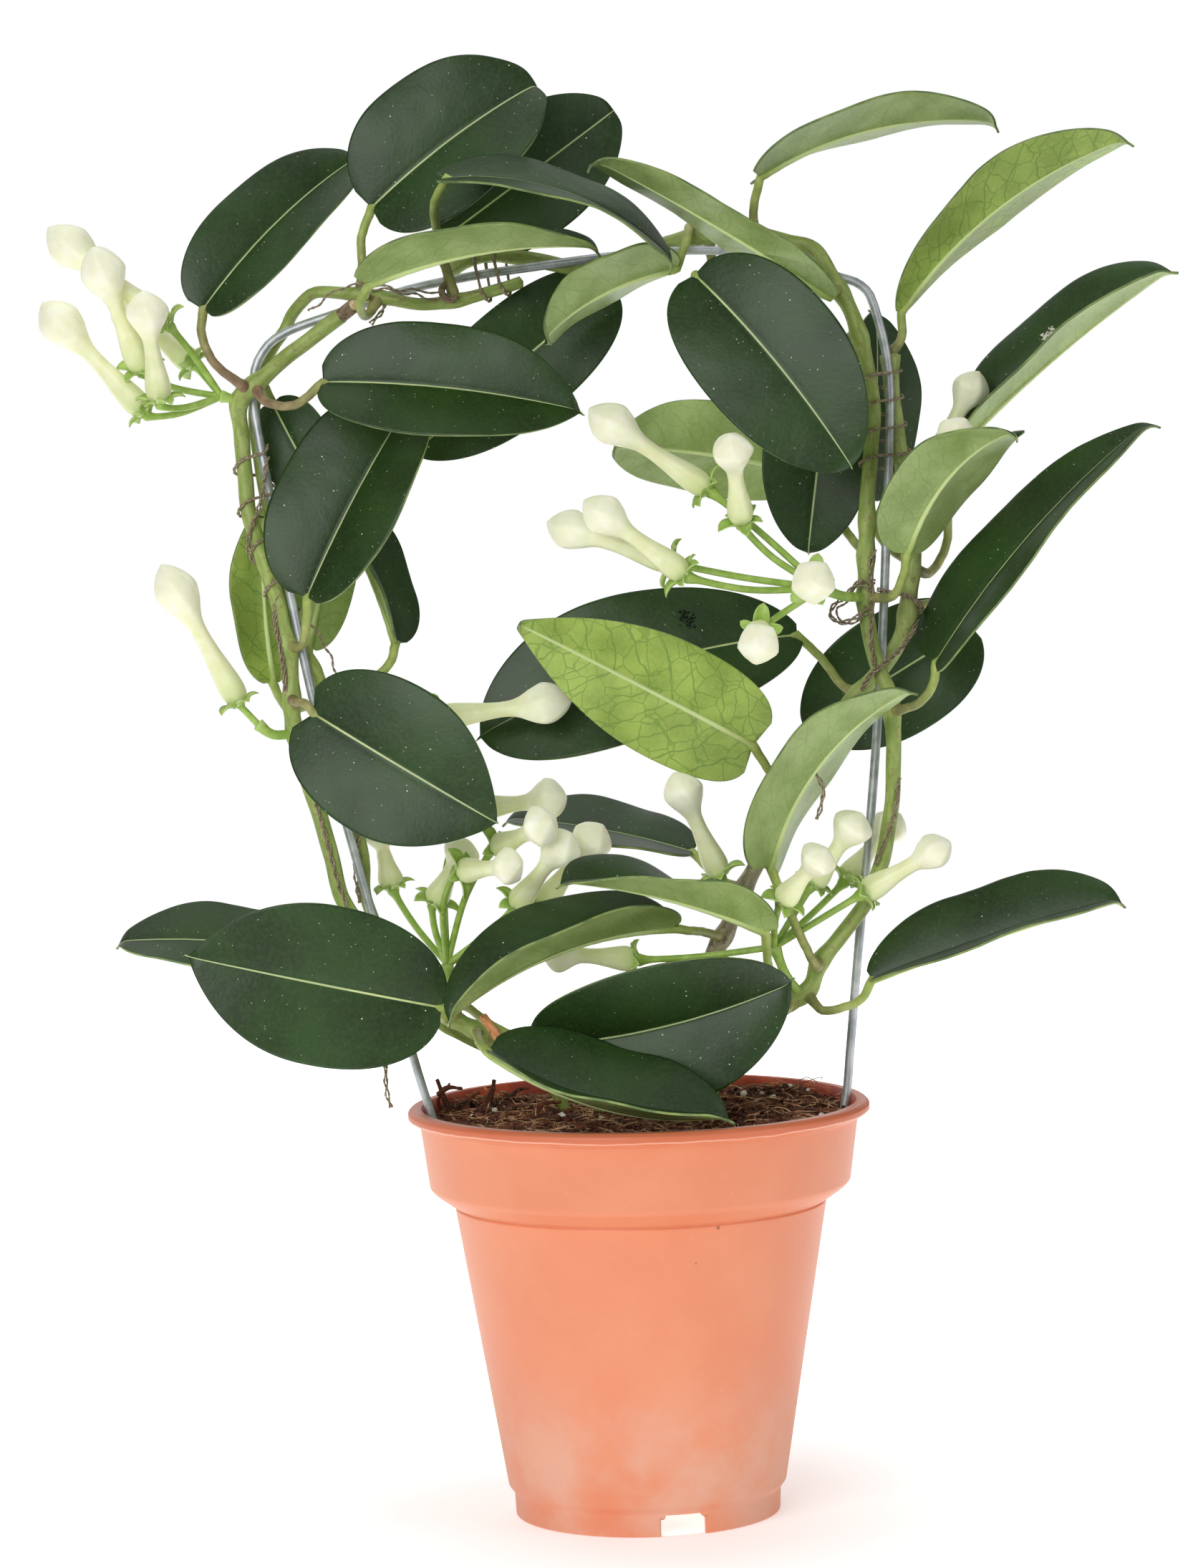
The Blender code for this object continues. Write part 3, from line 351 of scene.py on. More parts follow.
class Shell:
    """Points and their values, and faces, gathered before they become one mesh object."""

    def __init__(self):
        self.points, self.faces, self.values = [], [], []

    def add(self, points, faces, values):
        """Adds a patch: points in millimetres, faces of their indices, each point's three values."""
        start = len(self.points)
        self.points.extend(points)
        self.faces.extend(tuple(start + i for i in face) for face in faces)
        self.values.extend(values)

    def tube(self, path, radii, sides, shape=None, span=(0.0, 1.0)):
        """A bar round a path with domed ends. Values: turn, way along in mm, share of the span."""
        path = np.array(path, float)
        frames = frames_along(path)
        run = lengths_along(path)
        points, values = [], []
        for i, (centre, (_, side, other)) in enumerate(zip(path, frames)):
            share = span[0] + (span[1] - span[0]) * run[i] / run[-1]
            for k in range(sides):
                turn = 2 * math.pi * k / sides
                radius = radii[i] * (shape(run[i], turn, share) if shape else 1.0)
                points.append(centre + (side * math.cos(turn) + other * math.sin(turn)) * radius)
                values.append((turn, run[i], share))
        count = len(points)
        faces = ring_faces(len(path), sides) + end_faces(count, count + 1, count - sides, sides)
        first, last = frames[0][0], frames[-1][0]
        points += [path[0] - first * radii[0] * DOME, path[-1] + last * radii[-1] * DOME]
        values += [(0.0, 0.0, span[0]), (0.0, run[-1], span[1])]
        self.add(points, faces, values)

    def lump(self, centre, size, squash, spin, seed, detail=1):
        """A small broken-looking lump."""
        shape = bmesh.new()
        bmesh.ops.create_icosphere(shape, subdivisions=detail, radius=1.0)
        turn = Matrix.Rotation(spin, 3, "Z") @ Matrix.Rotation(spin * 1.7, 3, "X")
        points = []
        for vertex in shape.verts:
            grow = 1.0 + 0.45 * noise.noise(vertex.co * 1.6 + Vector((seed, seed, seed)))
            place = turn @ Vector([along * share for along, share in zip(vertex.co, squash)])
            points.append(np.array(centre) + np.array(place) * size * grow)
        faces = [tuple(v.index for v in face.verts) for face in shape.faces]
        shape.free()
        self.add(points, faces, [BLANK] * len(points))

    def build(self, name, paints, slot, nodes=(), smooth=True, second_from=None):
        """Makes the object, rides it on the root and lets it stand for its CAD nodes.

        Its faces have the first of the paints, or the second from a face's number on.
        """
        mesh = bpy.data.meshes.new(name)
        mesh.from_pydata([tuple(p * MM for p in point) for point in self.points], [], self.faces)
        for paint in paints:
            mesh.materials.append(paint)
        if second_from is not None:
            mesh.polygons.foreach_set("material_index", [i >= second_from for i in range(len(self.faces))])
        mesh.polygons.foreach_set("use_smooth", [smooth] * len(self.faces))
        place = mesh.attributes.new("place", "FLOAT_VECTOR", "POINT")
        place.data.foreach_set("vector", np.array(self.values, np.float32).ravel())
        mesh.validate()
        made = linked(name, mesh)
        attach(made, "root")
        if nodes:
            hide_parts(*nodes)
        return made


def linked(name, data):
    """An object with this data, in the scene."""
    made = bpy.data.objects.new(name, data)
    bpy.context.scene.collection.objects.link(made)
    return made


def linked_shape(name, shape):
    """An object with this bmesh shape, which is freed."""
    mesh = bpy.data.meshes.new(name)
    shape.to_mesh(mesh)
    shape.free()
    return linked(name, mesh)


# ---------------------------------------------------------------- helpers for materials


def colour(text):
    """A colour written as the eye sees it, #RRGGBB, as the linear values that shaders take."""
    parts = [int(text[i : i + 2], 16) / 255 for i in (1, 3, 5)]
    return (*(c / 12.92 if c <= 0.04045 else ((c + 0.055) / 1.055) ** 2.4 for c in parts), 1.0)


class Paint:
    """A material being wired: each call adds a node and returns its output."""

    def __init__(self, name, roughness=0.5, metallic=0.0):
        self.material = bpy.data.materials.new(name)
        self.material.use_nodes = True
        self.tree = self.material.node_tree
        self.shader = self.tree.nodes["Principled BSDF"]
        self.give("Roughness", roughness)
        self.give("Metallic", metallic)

    def put(self, socket, value):
        """Links a node's output to a socket, or sets the socket; a text is a colour."""
        if isinstance(value, bpy.types.NodeSocket):
            self.tree.links.new(value, socket)
        else:
            socket.default_value = colour(value) if isinstance(value, str) else value

    def give(self, name, value):
        """Puts a value on the shader's own socket of this name."""
        self.put(self.shader.inputs[name], value)

    def node(self, kind, inputs=None, output=0, **settings):
        made = self.tree.nodes.new("ShaderNode" + kind)
        for key, value in settings.items():
            setattr(made, key, value)
        for key, value in (inputs or {}).items():
            self.put(made.inputs[key], value)
        return made.outputs[output]

    def math(self, operation, *values):
        return self.node("Math", dict(enumerate(values)), operation=operation)

    def plus(self, first, second):
        return self.math("ADD", first, second)

    def minus(self, first, second):
        return self.math("SUBTRACT", first, second)

    def times(self, first, second):
        return self.math("MULTIPLY", first, second)

    def largest(self, first, second):
        return self.math("MAXIMUM", first, second)

    def inverse(self, value):
        return self.minus(1.0, value)

    def band(self, value, low, high):
        """0 where the value is at low, 1 where it is at high, smoothly."""
        inputs = {"Value": value, "From Min": low, "From Max": high}
        return self.node("MapRange", inputs, interpolation_type="SMOOTHSTEP")

    def mix(self, share, first, second):
        return self.node("Mix", {0: share, 6: first, 7: second}, output=2, data_type="RGBA")

    def toned(self, tone, dark, light, low=0.35, high=0.7):
        """Dark where the tone is low and light where it is high."""
        return self.mix(self.band(tone, low, high), dark, light)

    def tint(self, base, share, second, most):
        """The base with this much of a second colour over it, where the share is 1."""
        return self.mix(self.times(share, most), base, second)

    def noise(self, vector, size, detail=3.0):
        """Noise of about 0.3 to 0.7 with features of this size, in the vector's own units."""
        scaled = self.node("Mapping", {"Vector": vector, "Scale": [1.0 / size] * 3})
        return self.node("TexNoise", {"Vector": scaled, "Scale": 1.0, "Detail": detail})

    def cells(self, vector, size, feature="F1", output=0, warp=0.0):
        """Voronoi cells of this size; the vector may be warped by noise."""
        scaled = self.node("VectorMath", {0: vector, "Scale": 1.0 / size}, operation="SCALE")
        if warp:
            bend = self.node("TexNoise", {"Vector": scaled, "Scale": 1.1, "Detail": 2.0}, output=1)
            bend = self.node("VectorMath", {0: bend, "Scale": warp}, operation="SCALE")
            scaled = self.node("VectorMath", {0: scaled, 1: bend}, operation="ADD")
        return self.node("TexVoronoi", {"Vector": scaled, "Scale": 1.0}, output=output, feature=feature)

    def place(self):
        return self.node("Attribute", output=1, attribute_name="place")

    def split(self, vector):
        made = self.tree.nodes.new("ShaderNodeSeparateXYZ")
        self.put(made.inputs[0], vector)
        return made.outputs[0], made.outputs[1], made.outputs[2]

    def where(self):
        """The point in the object's own frame, in metres."""
        return self.node("TexCoord", output=3)

    def finish(self, base, roughness=None, height=None, strength=0.3, distance=0.0005):
        self.give("Base Color", base)
        if roughness is not None:
            self.give("Roughness", roughness)
        if height is not None:
            bump = self.node("Bump", {"Height": height, "Strength": strength, "Distance": distance})
            self.give("Normal", bump)
        return self.material


# ---------------------------------------------------------------- leaves

# Leaves whose paler under side shows a strong net of veins.
BOLD_LEAVES = ("leaf_16", "leaf_20", "leaf_32")
# Leaves whose stalk is russet along most of its length.
RUSSET_STALKS = ("leaf_01", "leaf_06", "leaf_31")
SIDE_VEIN_SPACING = 8.5
SIDE_VEIN_SLANT = 0.62
SIDE_VEIN_CURVE = 0.012
VEIN_WANDER = 9.0
BLADE_THICKNESS = 0.65
RIB_STEPS = 60
BLADE_ROWS = 76
BLADE_COLUMNS = 36
MIDRIB_RADIUS = 0.7
MIDRIB_SPAN = (0.02, 0.93)
MIDRIB_STEPS = 34
STALK_RADIUS = 1.25
STALK_SIDES = 12
TIP_START = 0.975
TIP_WIDTH = 2.4
TIP_DROP = 2.4


class Blade:
    """A leaf blade's shape as a formula of t, from base 0 to tip 1, and u, from edge -1 to edge 1."""

    def __init__(
        self, base, tip, width, roll, arch, fold, twist, curl, belly=0.46, bow=0.0, lobe=0.015, taper=0.6
    ):
        self.base, self.tip = np.array(base, float), np.array(tip, float)
        self.width, self.roll, self.twist = width, math.radians(roll), math.radians(twist)
        self.fold, self.bow, self.lobe, self.taper = math.radians(fold), bow, lobe, taper
        self.belly = math.log(0.5) / math.log(belly)
        self.length = np.linalg.norm(self.tip - self.base)
        self.axis = (self.tip - self.base) / self.length
        front = np.array((0.0, -1.0, 0.0))
        self.front = unit(front - self.axis * (front @ self.axis))
        self.up = self.turned(self.roll)
        t = np.linspace(0, 1, RIB_STEPS + 1)
        slope = math.radians(arch) * (1 - 2 * t)
        slope -= math.radians(curl) * np.clip((t - 0.86) / 0.14, 0, 1) ** 2
        run, rise = (
            np.concatenate([[0], np.cumsum((part[1:] + part[:-1]) / 2)]) / RIB_STEPS
            for part in (np.cos(slope), np.sin(slope))
        )
        reach = math.hypot(run[-1], rise[-1])
        tilt = math.atan2(rise[-1], run[-1])
        self.t = t
        self.run = (run * math.cos(tilt) + rise * math.sin(tilt)) / reach * self.length
        self.rise = (rise * math.cos(tilt) - run * math.sin(tilt)) / reach * self.length
        self.slope = slope - tilt

    def turned(self, angle):
        side = np.cross(self.axis, self.front)
        return self.front * math.cos(angle) + side * math.sin(angle)

    def rib(self, t):
        """The midrib's place, direction and upward normal at t."""
        run, rise = np.interp(t, self.t, self.run), np.interp(t, self.t, self.rise)
        slope = np.interp(t, self.t, self.slope)
        side = np.cross(self.axis, self.up)
        place = self.base + self.axis * run + self.up * rise + side * self.bow * 4 * t * (1 - t)
        along = self.axis * math.cos(slope) + self.up * math.sin(slope)
        normal = self.up * math.cos(slope) - self.axis * math.sin(slope)
        return place, along, normal

    def half_width(self, t):
        """The outline: an oval with a blunt base, and a short narrow point at the tip."""
        s = 2 * min(max(t / TIP_START, 0.0), 1.0) ** self.belly - 1
        oval = self.width / 2 * max(0.0, 1 - abs(s) ** 2.2) ** (0.46 if s < 0 else self.taper)
        point = TIP_WIDTH * max(0.0, (1 - t) / 0.1) ** 1.2 if t > 0.9 else 0.0
        return math.hypot(oval, point * min(1.0, (t - 0.9) / 0.06)) if t > 0.9 else oval

    def row(self, t, shares, seed):
        """The points across the blade at t, with the grooves over its veins, and their values."""
        place, along, normal = self.rib(t)
        side = np.cross(along, normal)
        angle = self.twist * (t - 0.4)
        side, normal = (
            side * math.cos(angle) + normal * math.sin(angle),
            normal * math.cos(angle) - side * math.sin(angle),
        )
        half = self.half_width(t)
        points, values = [], []
        for u in shares:
            across = abs(u) * half
            lobe = self.lobe * self.length * u * u * max(0.0, 1 - t / 0.25) ** 2
            opening = self.fold * (1 - 0.35 * abs(u))
            lift = across * math.sin(opening)
            wave = 0.9 * u * u * math.sin(2 * math.pi * (1.6 * t + (0.25 if u > 0 else 0.0)))
            spread = math.copysign(across * math.cos(opening), u)
            length = t * self.length
            flat = np.array((u * half, length, 0.0))
            phase = (length - SIDE_VEIN_SLANT * across - SIDE_VEIN_CURVE * across**2) / SIDE_VEIN_SPACING
            off_vein = abs((phase + 0.2 * rough(flat, 14, seed)) % 1.0 - 0.5) * SIDE_VEIN_SPACING
            groove = 0.03 * math.exp(-((off_vein / 0.9) ** 2)) * min(1.0, across / 2.5) * (1 - abs(u) ** 4)
            groove += 0.4 * math.exp(-((across / 0.9) ** 2)) * (1 - 0.7 * t)
            ripple = 0.55 * abs(u) * rough(flat, 17, seed + 5) + 0.12 * rough(flat, 5, seed)
            drop = TIP_DROP * max(0.0, (t - 0.93) / 0.07) ** 2
            middle = math.sin(math.pi * t)
            up = lift + (wave + ripple) * middle - groove * middle**0.3 - drop
            points.append(place + side * spread + normal * up - along * lobe)
            values.append((u * half, length, seed + 0.45 * abs(u)))
        return points, values


def leaf_upper():
    paint = Paint("leaf_upper", roughness=0.4)
    off, along = off_and_along(paint)
    where = paint.where()
    mottle = paint.noise(paint.place(), 22.0, 4.0)
    fine = paint.noise(where, 0.0011, 3.0)
    base = paint.toned(mottle, "#1B310E", "#284617", 0.3, 0.7)
    base = paint.tint(base, paint.band(fine, 0.35, 0.75), "#385526", 0.36)
    side = side_veins(paint, off, along)
    base = paint.tint(base, side, "#6B8056", 0.035)
    rib = midrib(paint, off, along, 0.42)
    base = paint.tint(base, rib, "#BFCE92", 0.9)
    specks = dust(paint, where, 0.0036, 0.075, 0.72)
    fine_specks = dust(paint, where, 0.0012, 0.15, 0.86)
    specks = paint.largest(specks, paint.times(fine_specks, 0.75))
    base = paint.mix(specks, base, "#D4DAC8")
    paint.give("Specular IOR Level", 0.46)
    broad = paint.noise(paint.place(), 30.0, 2.0)
    roughness = paint.plus(paint.times(broad, 0.1), 0.36)
    roughness = paint.plus(roughness, paint.times(fine, 0.1))
    height = paint.minus(paint.times(fine, 0.3), paint.times(side, 0.04))
    return paint.finish(base, roughness, height, 0.5, 0.0005)


def leaf_under(name, vein_strength, pale, deep):
    paint = Paint(name, roughness=0.45)
    place = paint.place()
    off, along = off_and_along(paint)
    where = paint.where()
    mottle = paint.noise(place, 11.0, 4.0)
    fine = paint.noise(where, 0.0009, 3.0)
    base = paint.toned(mottle, deep, pale, 0.33, 0.7)
    base = paint.tint(base, paint.band(fine, 0.4, 0.75), "#BCD084", 0.2)
    main = side_veins(paint, off, along)
    net = net_veins(paint, 6.0, 0.005, 0.05)
    small = net_veins(paint, 2.2, 0.0, 0.1)
    broken = paint.band(paint.noise(place, 9.0, 2.0), 0.45, 0.65)
    veins = paint.largest(paint.times(main, 0.8), paint.times(net, 0.65))
    veins = paint.largest(veins, paint.times(paint.times(small, 0.25), broken))
    base = paint.tint(base, veins, "#688C38", vein_strength)
    rib = midrib(paint, off, along, 0.8)
    base = paint.tint(base, rib, "#D3E09A", 0.5)
    height = paint.plus(paint.times(veins, 0.5), paint.times(fine, 0.3))
    roughness = paint.plus(paint.times(mottle, 0.2), 0.32)
    return paint.finish(base, roughness, height, 0.3, 0.0003)


def off_and_along(paint):
    """How far a point is from its midrib, and how far along it, in millimetres."""
    across, along, _ = paint.split(paint.place())
    return paint.math("ABSOLUTE", across), along


def net_veins(paint, size, low, high):
    """1 on the lines between cells of this size."""
    edge = paint.cells(paint.place(), size, "DISTANCE_TO_EDGE", warp=0.6)
    return paint.inverse(paint.band(edge, low, high))


def side_veins(paint, off, along):
    """The pairs of side veins that leave the midrib: 1 on a vein."""
    slant = paint.times(off, SIDE_VEIN_SLANT)
    bend = paint.times(paint.times(off, off), SIDE_VEIN_CURVE)
    phase = paint.minus(paint.minus(along, slant), bend)
    wander = paint.times(paint.noise(paint.place(), 9.0, 2.0), VEIN_WANDER)
    phase = paint.math("DIVIDE", paint.plus(phase, wander), SIDE_VEIN_SPACING)
    gap = paint.math("ABSOLUTE", paint.minus(paint.math("FRACT", phase), 0.5))
    return paint.inverse(paint.band(gap, 0.012, 0.05))


def midrib(paint, off, along, width):
    """1 along the midrib, which narrows towards the tip."""
    narrow = paint.inverse(paint.band(along, 20.0, 120.0))
    half = paint.times(narrow, width)
    inner = paint.times(half, 0.5)
    return paint.inverse(paint.band(off, inner, half))


def dust(paint, where, size, reach, rarity):
    """Specks: 1 on small discs in a few of the cells of this size."""
    near = paint.cells(where, size)
    pick = paint.node("SeparateColor", {0: paint.cells(where, size, output=1)})
    disc = paint.inverse(paint.band(near, reach * 0.5, reach))
    return paint.times(disc, paint.math("GREATER_THAN", pick, rarity))


def leaf_edge():
    paint = Paint("leaf_edge", roughness=0.5)
    tone = paint.noise(paint.where(), 0.006)
    base = paint.toned(tone, "#5F7644", "#8C9F5A", 0.35, 0.65)
    return paint.finish(base)


def leaf_stalk(name, dark, light, reach):
    """A stalk's skin: old at the foot in these colours, up to this share of the way, and green above."""
    paint = Paint(name, roughness=0.5)
    _, _, share = paint.split(paint.place())
    tone = paint.noise(paint.where(), 0.003, 4.0)
    young = paint.toned(tone, "#98AB54", "#B0BF69")
    old = paint.toned(tone, dark, light)
    base = paint.mix(paint.band(share, 0.05, reach), old, young)
    base = paint.mix(paint.band(share, 0.48, 0.6), base, "#CFDF9A")
    fine = paint.noise(paint.where(), 0.0007, 3.0)
    return paint.finish(base, None, fine, 0.3, 0.0003)


# Marks on leaves: the piece, its leaf, how many lumps, their middle and spread in t and u, how far off
# the blade, smallest and largest size, material (name, roughness, grain, dark, light, bump), smooth.
MARKS = (
    ("leaf_17_crumb", "leaf_17", 70, (0.48, -0.36), (0.016, 0.045), 0.5, (0.25, 0.6),
     ("crumb", 0.9, 0.0007, "#BDBAA8", "#F0EEE2", 0.5), False),
    ("leaf_21_callus", "leaf_21", 26, (0.3, 0.5), (0.014, 0.06), 0.4, (0.4, 0.8),
     ("callus", 0.3, 0.0012, "#0A140A", "#1D2C1B", 0.6), True),
)
MARK_SQUASH = (1.0, 0.8, 0.6)
MARKS_SEED = 3


def grainy(name, roughness, size, dark, light, strength, low=0.35, high=0.65, distance=0.0005):
    """A plain material of two tones in fine grains, which also stand up a little."""
    paint = Paint(name, roughness=roughness)
    grain = paint.noise(paint.where(), size)
    return paint.finish(paint.toned(grain, dark, light, low, high), None, grain, strength, distance)


def on_blade(facts, t, u, off):
    """A point over a blade's upper face, this many millimetres off it."""
    blade = Blade(*facts)
    points, _ = blade.row(t, [u - 0.05, u, u + 0.05], 0.0)
    ahead, _ = blade.row(t + 0.02, [u], 0.0)
    normal = unit(np.cross(ahead[0] - points[1], points[2] - points[0]))
    if normal @ blade.rib(t)[2] < 0:
        normal = -normal
    return points[1] + normal * off


def marks():
    """What lies on the leaves: a dried crumb of sap on one, and a dark callus on another."""
    draw = random.Random(MARKS_SEED)
    for name, leaf_name, count, middle, spread, off, sizes, look, smooth in MARKS:
        shell = Shell()
        for _ in range(count):
            t, u = (at + draw.gauss(0, wide) for at, wide in zip(middle, spread))
            place = on_blade(LEAVES[leaf_name][2:], t, u, off)
            size, spin = draw.uniform(*sizes), draw.uniform(0, 6)
            shell.lump(place, size, MARK_SQUASH, spin, draw.uniform(0, 99))
        shell.build(name, [grainy(*look)], "leaf", smooth=smooth)


def stem_point(name, toward):
    """The stem's own middle point nearest to a place."""
    path = smooth_path(STEMS[name], 2.0)
    return path[int(np.argmin(np.linalg.norm(path - np.array(toward, float), axis=1)))]


def leaf(name, stem, bends, facts, seed, paints):
    """One leaf: two skins with a rim, and a stalk that runs on under the blade as its midrib."""
    blade = Blade(*facts)
    shell = Shell()
    ends = 0.5 - 0.5 * np.cos(np.linspace(0, math.pi, BLADE_ROWS + 1))
    rows = 0.5 * ends + 0.5 * np.linspace(0, 1, BLADE_ROWS + 1)
    shares = np.sin(np.linspace(-1, 1, BLADE_COLUMNS + 1) * math.pi / 2) * 0.35
    shares += 0.65 * np.linspace(-1, 1, BLADE_COLUMNS + 1)
    points, values, grid = [], [], []
    for number, t in enumerate(rows):
        if number in (0, BLADE_ROWS):
            row, value = blade.row(t, [0.0], seed)
            grid.append([len(points)] * (BLADE_COLUMNS + 1))
        else:
            row, value = blade.row(t, shares, seed)
            grid.append(list(range(len(points), len(points) + BLADE_COLUMNS + 1)))
        points += row
        values += value
    faces = []
    for low, high in zip(grid, grid[1:]):
        for k in range(BLADE_COLUMNS):
            corners = (low[k], low[k + 1], high[k + 1], high[k])
            faces.append(tuple(dict.fromkeys(corners)))
    one, two, three = (points[i] for i in faces[len(faces) // 2][:3])
    if np.cross(two - one, three - one) @ blade.rib(0.5)[2] < 0:
        faces = [face[::-1] for face in faces]
    shell.add(points, faces, values)
    skins = [paints[side] for side in ("upper", "under", "edge")]
    made = shell.build(name + "_blade", skins, "leaf", [name])
    thick = made.modifiers.new("Thickness", "SOLIDIFY")
    thick.thickness = BLADE_THICKNESS * MM
    thick.offset = 0.0
    thick.use_even_offset = True
    thick.material_offset = 1
    thick.material_offset_rim = 2

    stalk = Shell()
    foot = stem_point(stem, bends[0])
    lead = foot + unit(np.array(bends[0], float) - foot) * (STEM_RADII[stem] * 0.9)
    knots = [foot, lead, *bends, blade.base]
    path = list(smooth_path(knots, 1.6))
    outer = len(path)
    for t in np.linspace(*MIDRIB_SPAN, MIDRIB_STEPS):
        place, _, up = blade.rib(t)
        path.append(place - up * (0.25 + 0.5 * MIDRIB_RADIUS * (1 - t)))
    path = np.array(path)
    radii = []
    for i in range(len(path)):
        if i < outer:
            share = i / outer
            foot_bell = math.exp(-((share / 0.16) ** 2))
            top_bell = math.exp(-(((1 - share) / 0.12) ** 2))
            radii.append(STALK_RADIUS + 0.55 * foot_bell + 0.2 * top_bell)
        else:
            share = (i - outer) / (len(path) - outer)
            radii.append(0.18 + MIDRIB_RADIUS * (1 - share) ** 1.2)
    stalk.tube(path, radii, STALK_SIDES, shape=lambda run, turn, _: 1.0 + 0.05 * math.sin(run * 1.3 + turn))
    for i, (turn, run, _) in enumerate(stalk.values):
        ring = i / STALK_SIDES
        under_blade = 0.5 + (ring - outer) / 60 if ring > outer else 0.5
        stalk.values[i] = (turn, run, min(ring / outer * 0.5, under_blade))
    stalk.build(name + "_stalk", [paints["stalk"]], "green_stem")


# ---------------------------------------------------------------- stems, wire, string


def bark(name, dark, light, speck, roughness, cork_below=None):
    """Streaked and specked bark; below a height in metres it may turn to grey-brown cork."""
    paint = Paint(name, roughness=roughness)
    turn, run, _ = paint.split(paint.place())
    round_it = paint.times(turn, 2.2)
    along_it = paint.times(run, 0.25)
    streak = paint.noise(paint.node("CombineXYZ", {0: round_it, 1: along_it}), 1.6, 4.0)
    where = paint.where()
    cork = paint.noise(where, 0.0016, 4.0)
    base = paint.toned(streak, dark, light)
    base = paint.tint(base, paint.band(cork, 0.56, 0.68), speck, 0.7)
    if cork_below:
        old = paint.toned(streak, "#857861", "#B3AB92")
        old = paint.tint(old, paint.band(cork, 0.54, 0.66), "#5C503E", 0.7)
        _, _, height = paint.split(where)
        height = paint.plus(height, paint.times(paint.noise(where, 0.012, 3.0), 0.05))
        base = paint.mix(paint.band(height, cork_below + 0.045, cork_below + 0.005), base, old)
    bump = paint.plus(paint.times(streak, 0.4), paint.times(cork, 0.6))
    return paint.finish(base, None, bump, 0.6, 0.0005)


def stem(name, paint, joints):
    """A stem, swollen where a stalk leaves it."""
    path = smooth_path(STEMS[name], 1.4)
    near = np.ones(len(path))
    for place in joints:
        away = np.linalg.norm(path - place, axis=1)
        near = np.maximum(near, 1 + 0.3 * np.exp(-((away / 3.2) ** 2)))
    radii = STEM_RADII[name] * near * np.array([1 + 0.05 * rough(p, 7, 3) for p in path])
    shell = Shell()
    shell.tube(path, radii, 18, shape=lambda run, turn, share: 1 + 0.03 * math.sin(3 * turn + run * 0.4))
    shell.build(name + "_bark", [paint], "bark" if name == "stem_woody" else "green_stem", [name])


def wire():
    paint = Paint("galvanised_wire", roughness=0.5, metallic=0.7)
    where = paint.where()
    tone = paint.noise(where, 0.004, 4.0)
    base = paint.toned(tone, "#AEB3B8", "#CDD1D5", 0.35, 0.65)
    scuff = paint.noise(where, 0.0008, 2.0)
    roughness = paint.plus(paint.times(tone, 0.3), 0.34)
    material = paint.finish(base, roughness, scuff, 0.12, 0.0002)
    path = smooth_path(HOOP, 2.5)
    shell = Shell()
    shell.tube(path, [WIRE_RADIUS] * len(path), 20)
    shell.build("wire_hoop_smooth", [material], "galvanised_wire", ["wire_hoop"])


def wound(bars, start, end, turns):
    """The path of a string wound round a bundle, on the bar that reaches out furthest at each angle."""
    start, end = np.array(start, float), np.array(end, float)
    along = unit(end - start)
    first = unit(np.cross(along, (0.0, 1.0, 0.0)))
    second = np.cross(along, first)
    path = []
    for step in range(WOUND_STEPS * turns + 1):
        middle = start + (end - start) * step / (WOUND_STEPS * turns)
        turn = 2 * math.pi * step / WOUND_STEPS
        out = first * math.cos(turn) + second * math.sin(turn)
        reaches = []
        for bar, radius in bars:
            near = bar[np.linalg.norm(bar - middle, axis=1) < BUNDLE_REACH]
            centre = near[np.argmin(np.abs((near - middle) @ along))]
            reaches.append(((centre - middle) @ out + radius, tuple(centre), radius))
        _, centre, radius = max(reaches)
        place = np.array(centre) + out * (radius + TWINE_RADIUS + TWINE_GAP)
        path.append(place - along * ((place - middle) @ along))
    path = np.array(path)
    for _ in range(2):
        path[1:-1] = (path[:-2] + 2 * path[1:-1] + path[2:]) / 4
    return path


def twine_paint():
    paint = Paint("twine", roughness=0.85)
    fibre = paint.noise(paint.where(), 0.0005, 3.0)
    turn, run, _ = paint.split(paint.place())
    lay = paint.minus(paint.times(turn, 2.0), paint.times(run, 3.0))
    ply_shade = paint.math("SINE", lay)
    base = paint.toned(fibre, "#80705A", "#BFB093")
    # Painted shade: one flank of each ply's turn is darker, as if shaded in the twist.
    base = paint.tint(base, paint.band(ply_shade, -0.2, -0.9), "#4E4334", 0.5)
    return paint.finish(base, None, fibre, 0.6, 0.0004)


def two_plies(run, turn, share):
    return 1 + 0.28 * math.cos(2 * turn - 3.0 * run)


def string(shell, path, radius):
    """One strand, laid from two plies."""
    shell.tube(path, [radius] * len(path), 6, shape=two_plies)


def twisted(shell, points, strands):
    """Some thin strands turning round each other along a path."""
    path = smooth_path(points, 0.6)
    lines = [[] for _ in range(strands)]
    for centre, (_, side, other), done in zip(path, frames_along(path), lengths_along(path)):
        for number, line in enumerate(lines):
            turn = 2 * math.pi * number / strands + 0.8 * done
            reach = LOOSE_SPREAD * (1 + 0.35 * math.sin(0.5 * done + 2 * number))
            line.append(centre + (side * math.cos(turn) + other * math.sin(turn)) * reach)
    for line in lines:
        string(shell, line, LOOSE_RADIUS)


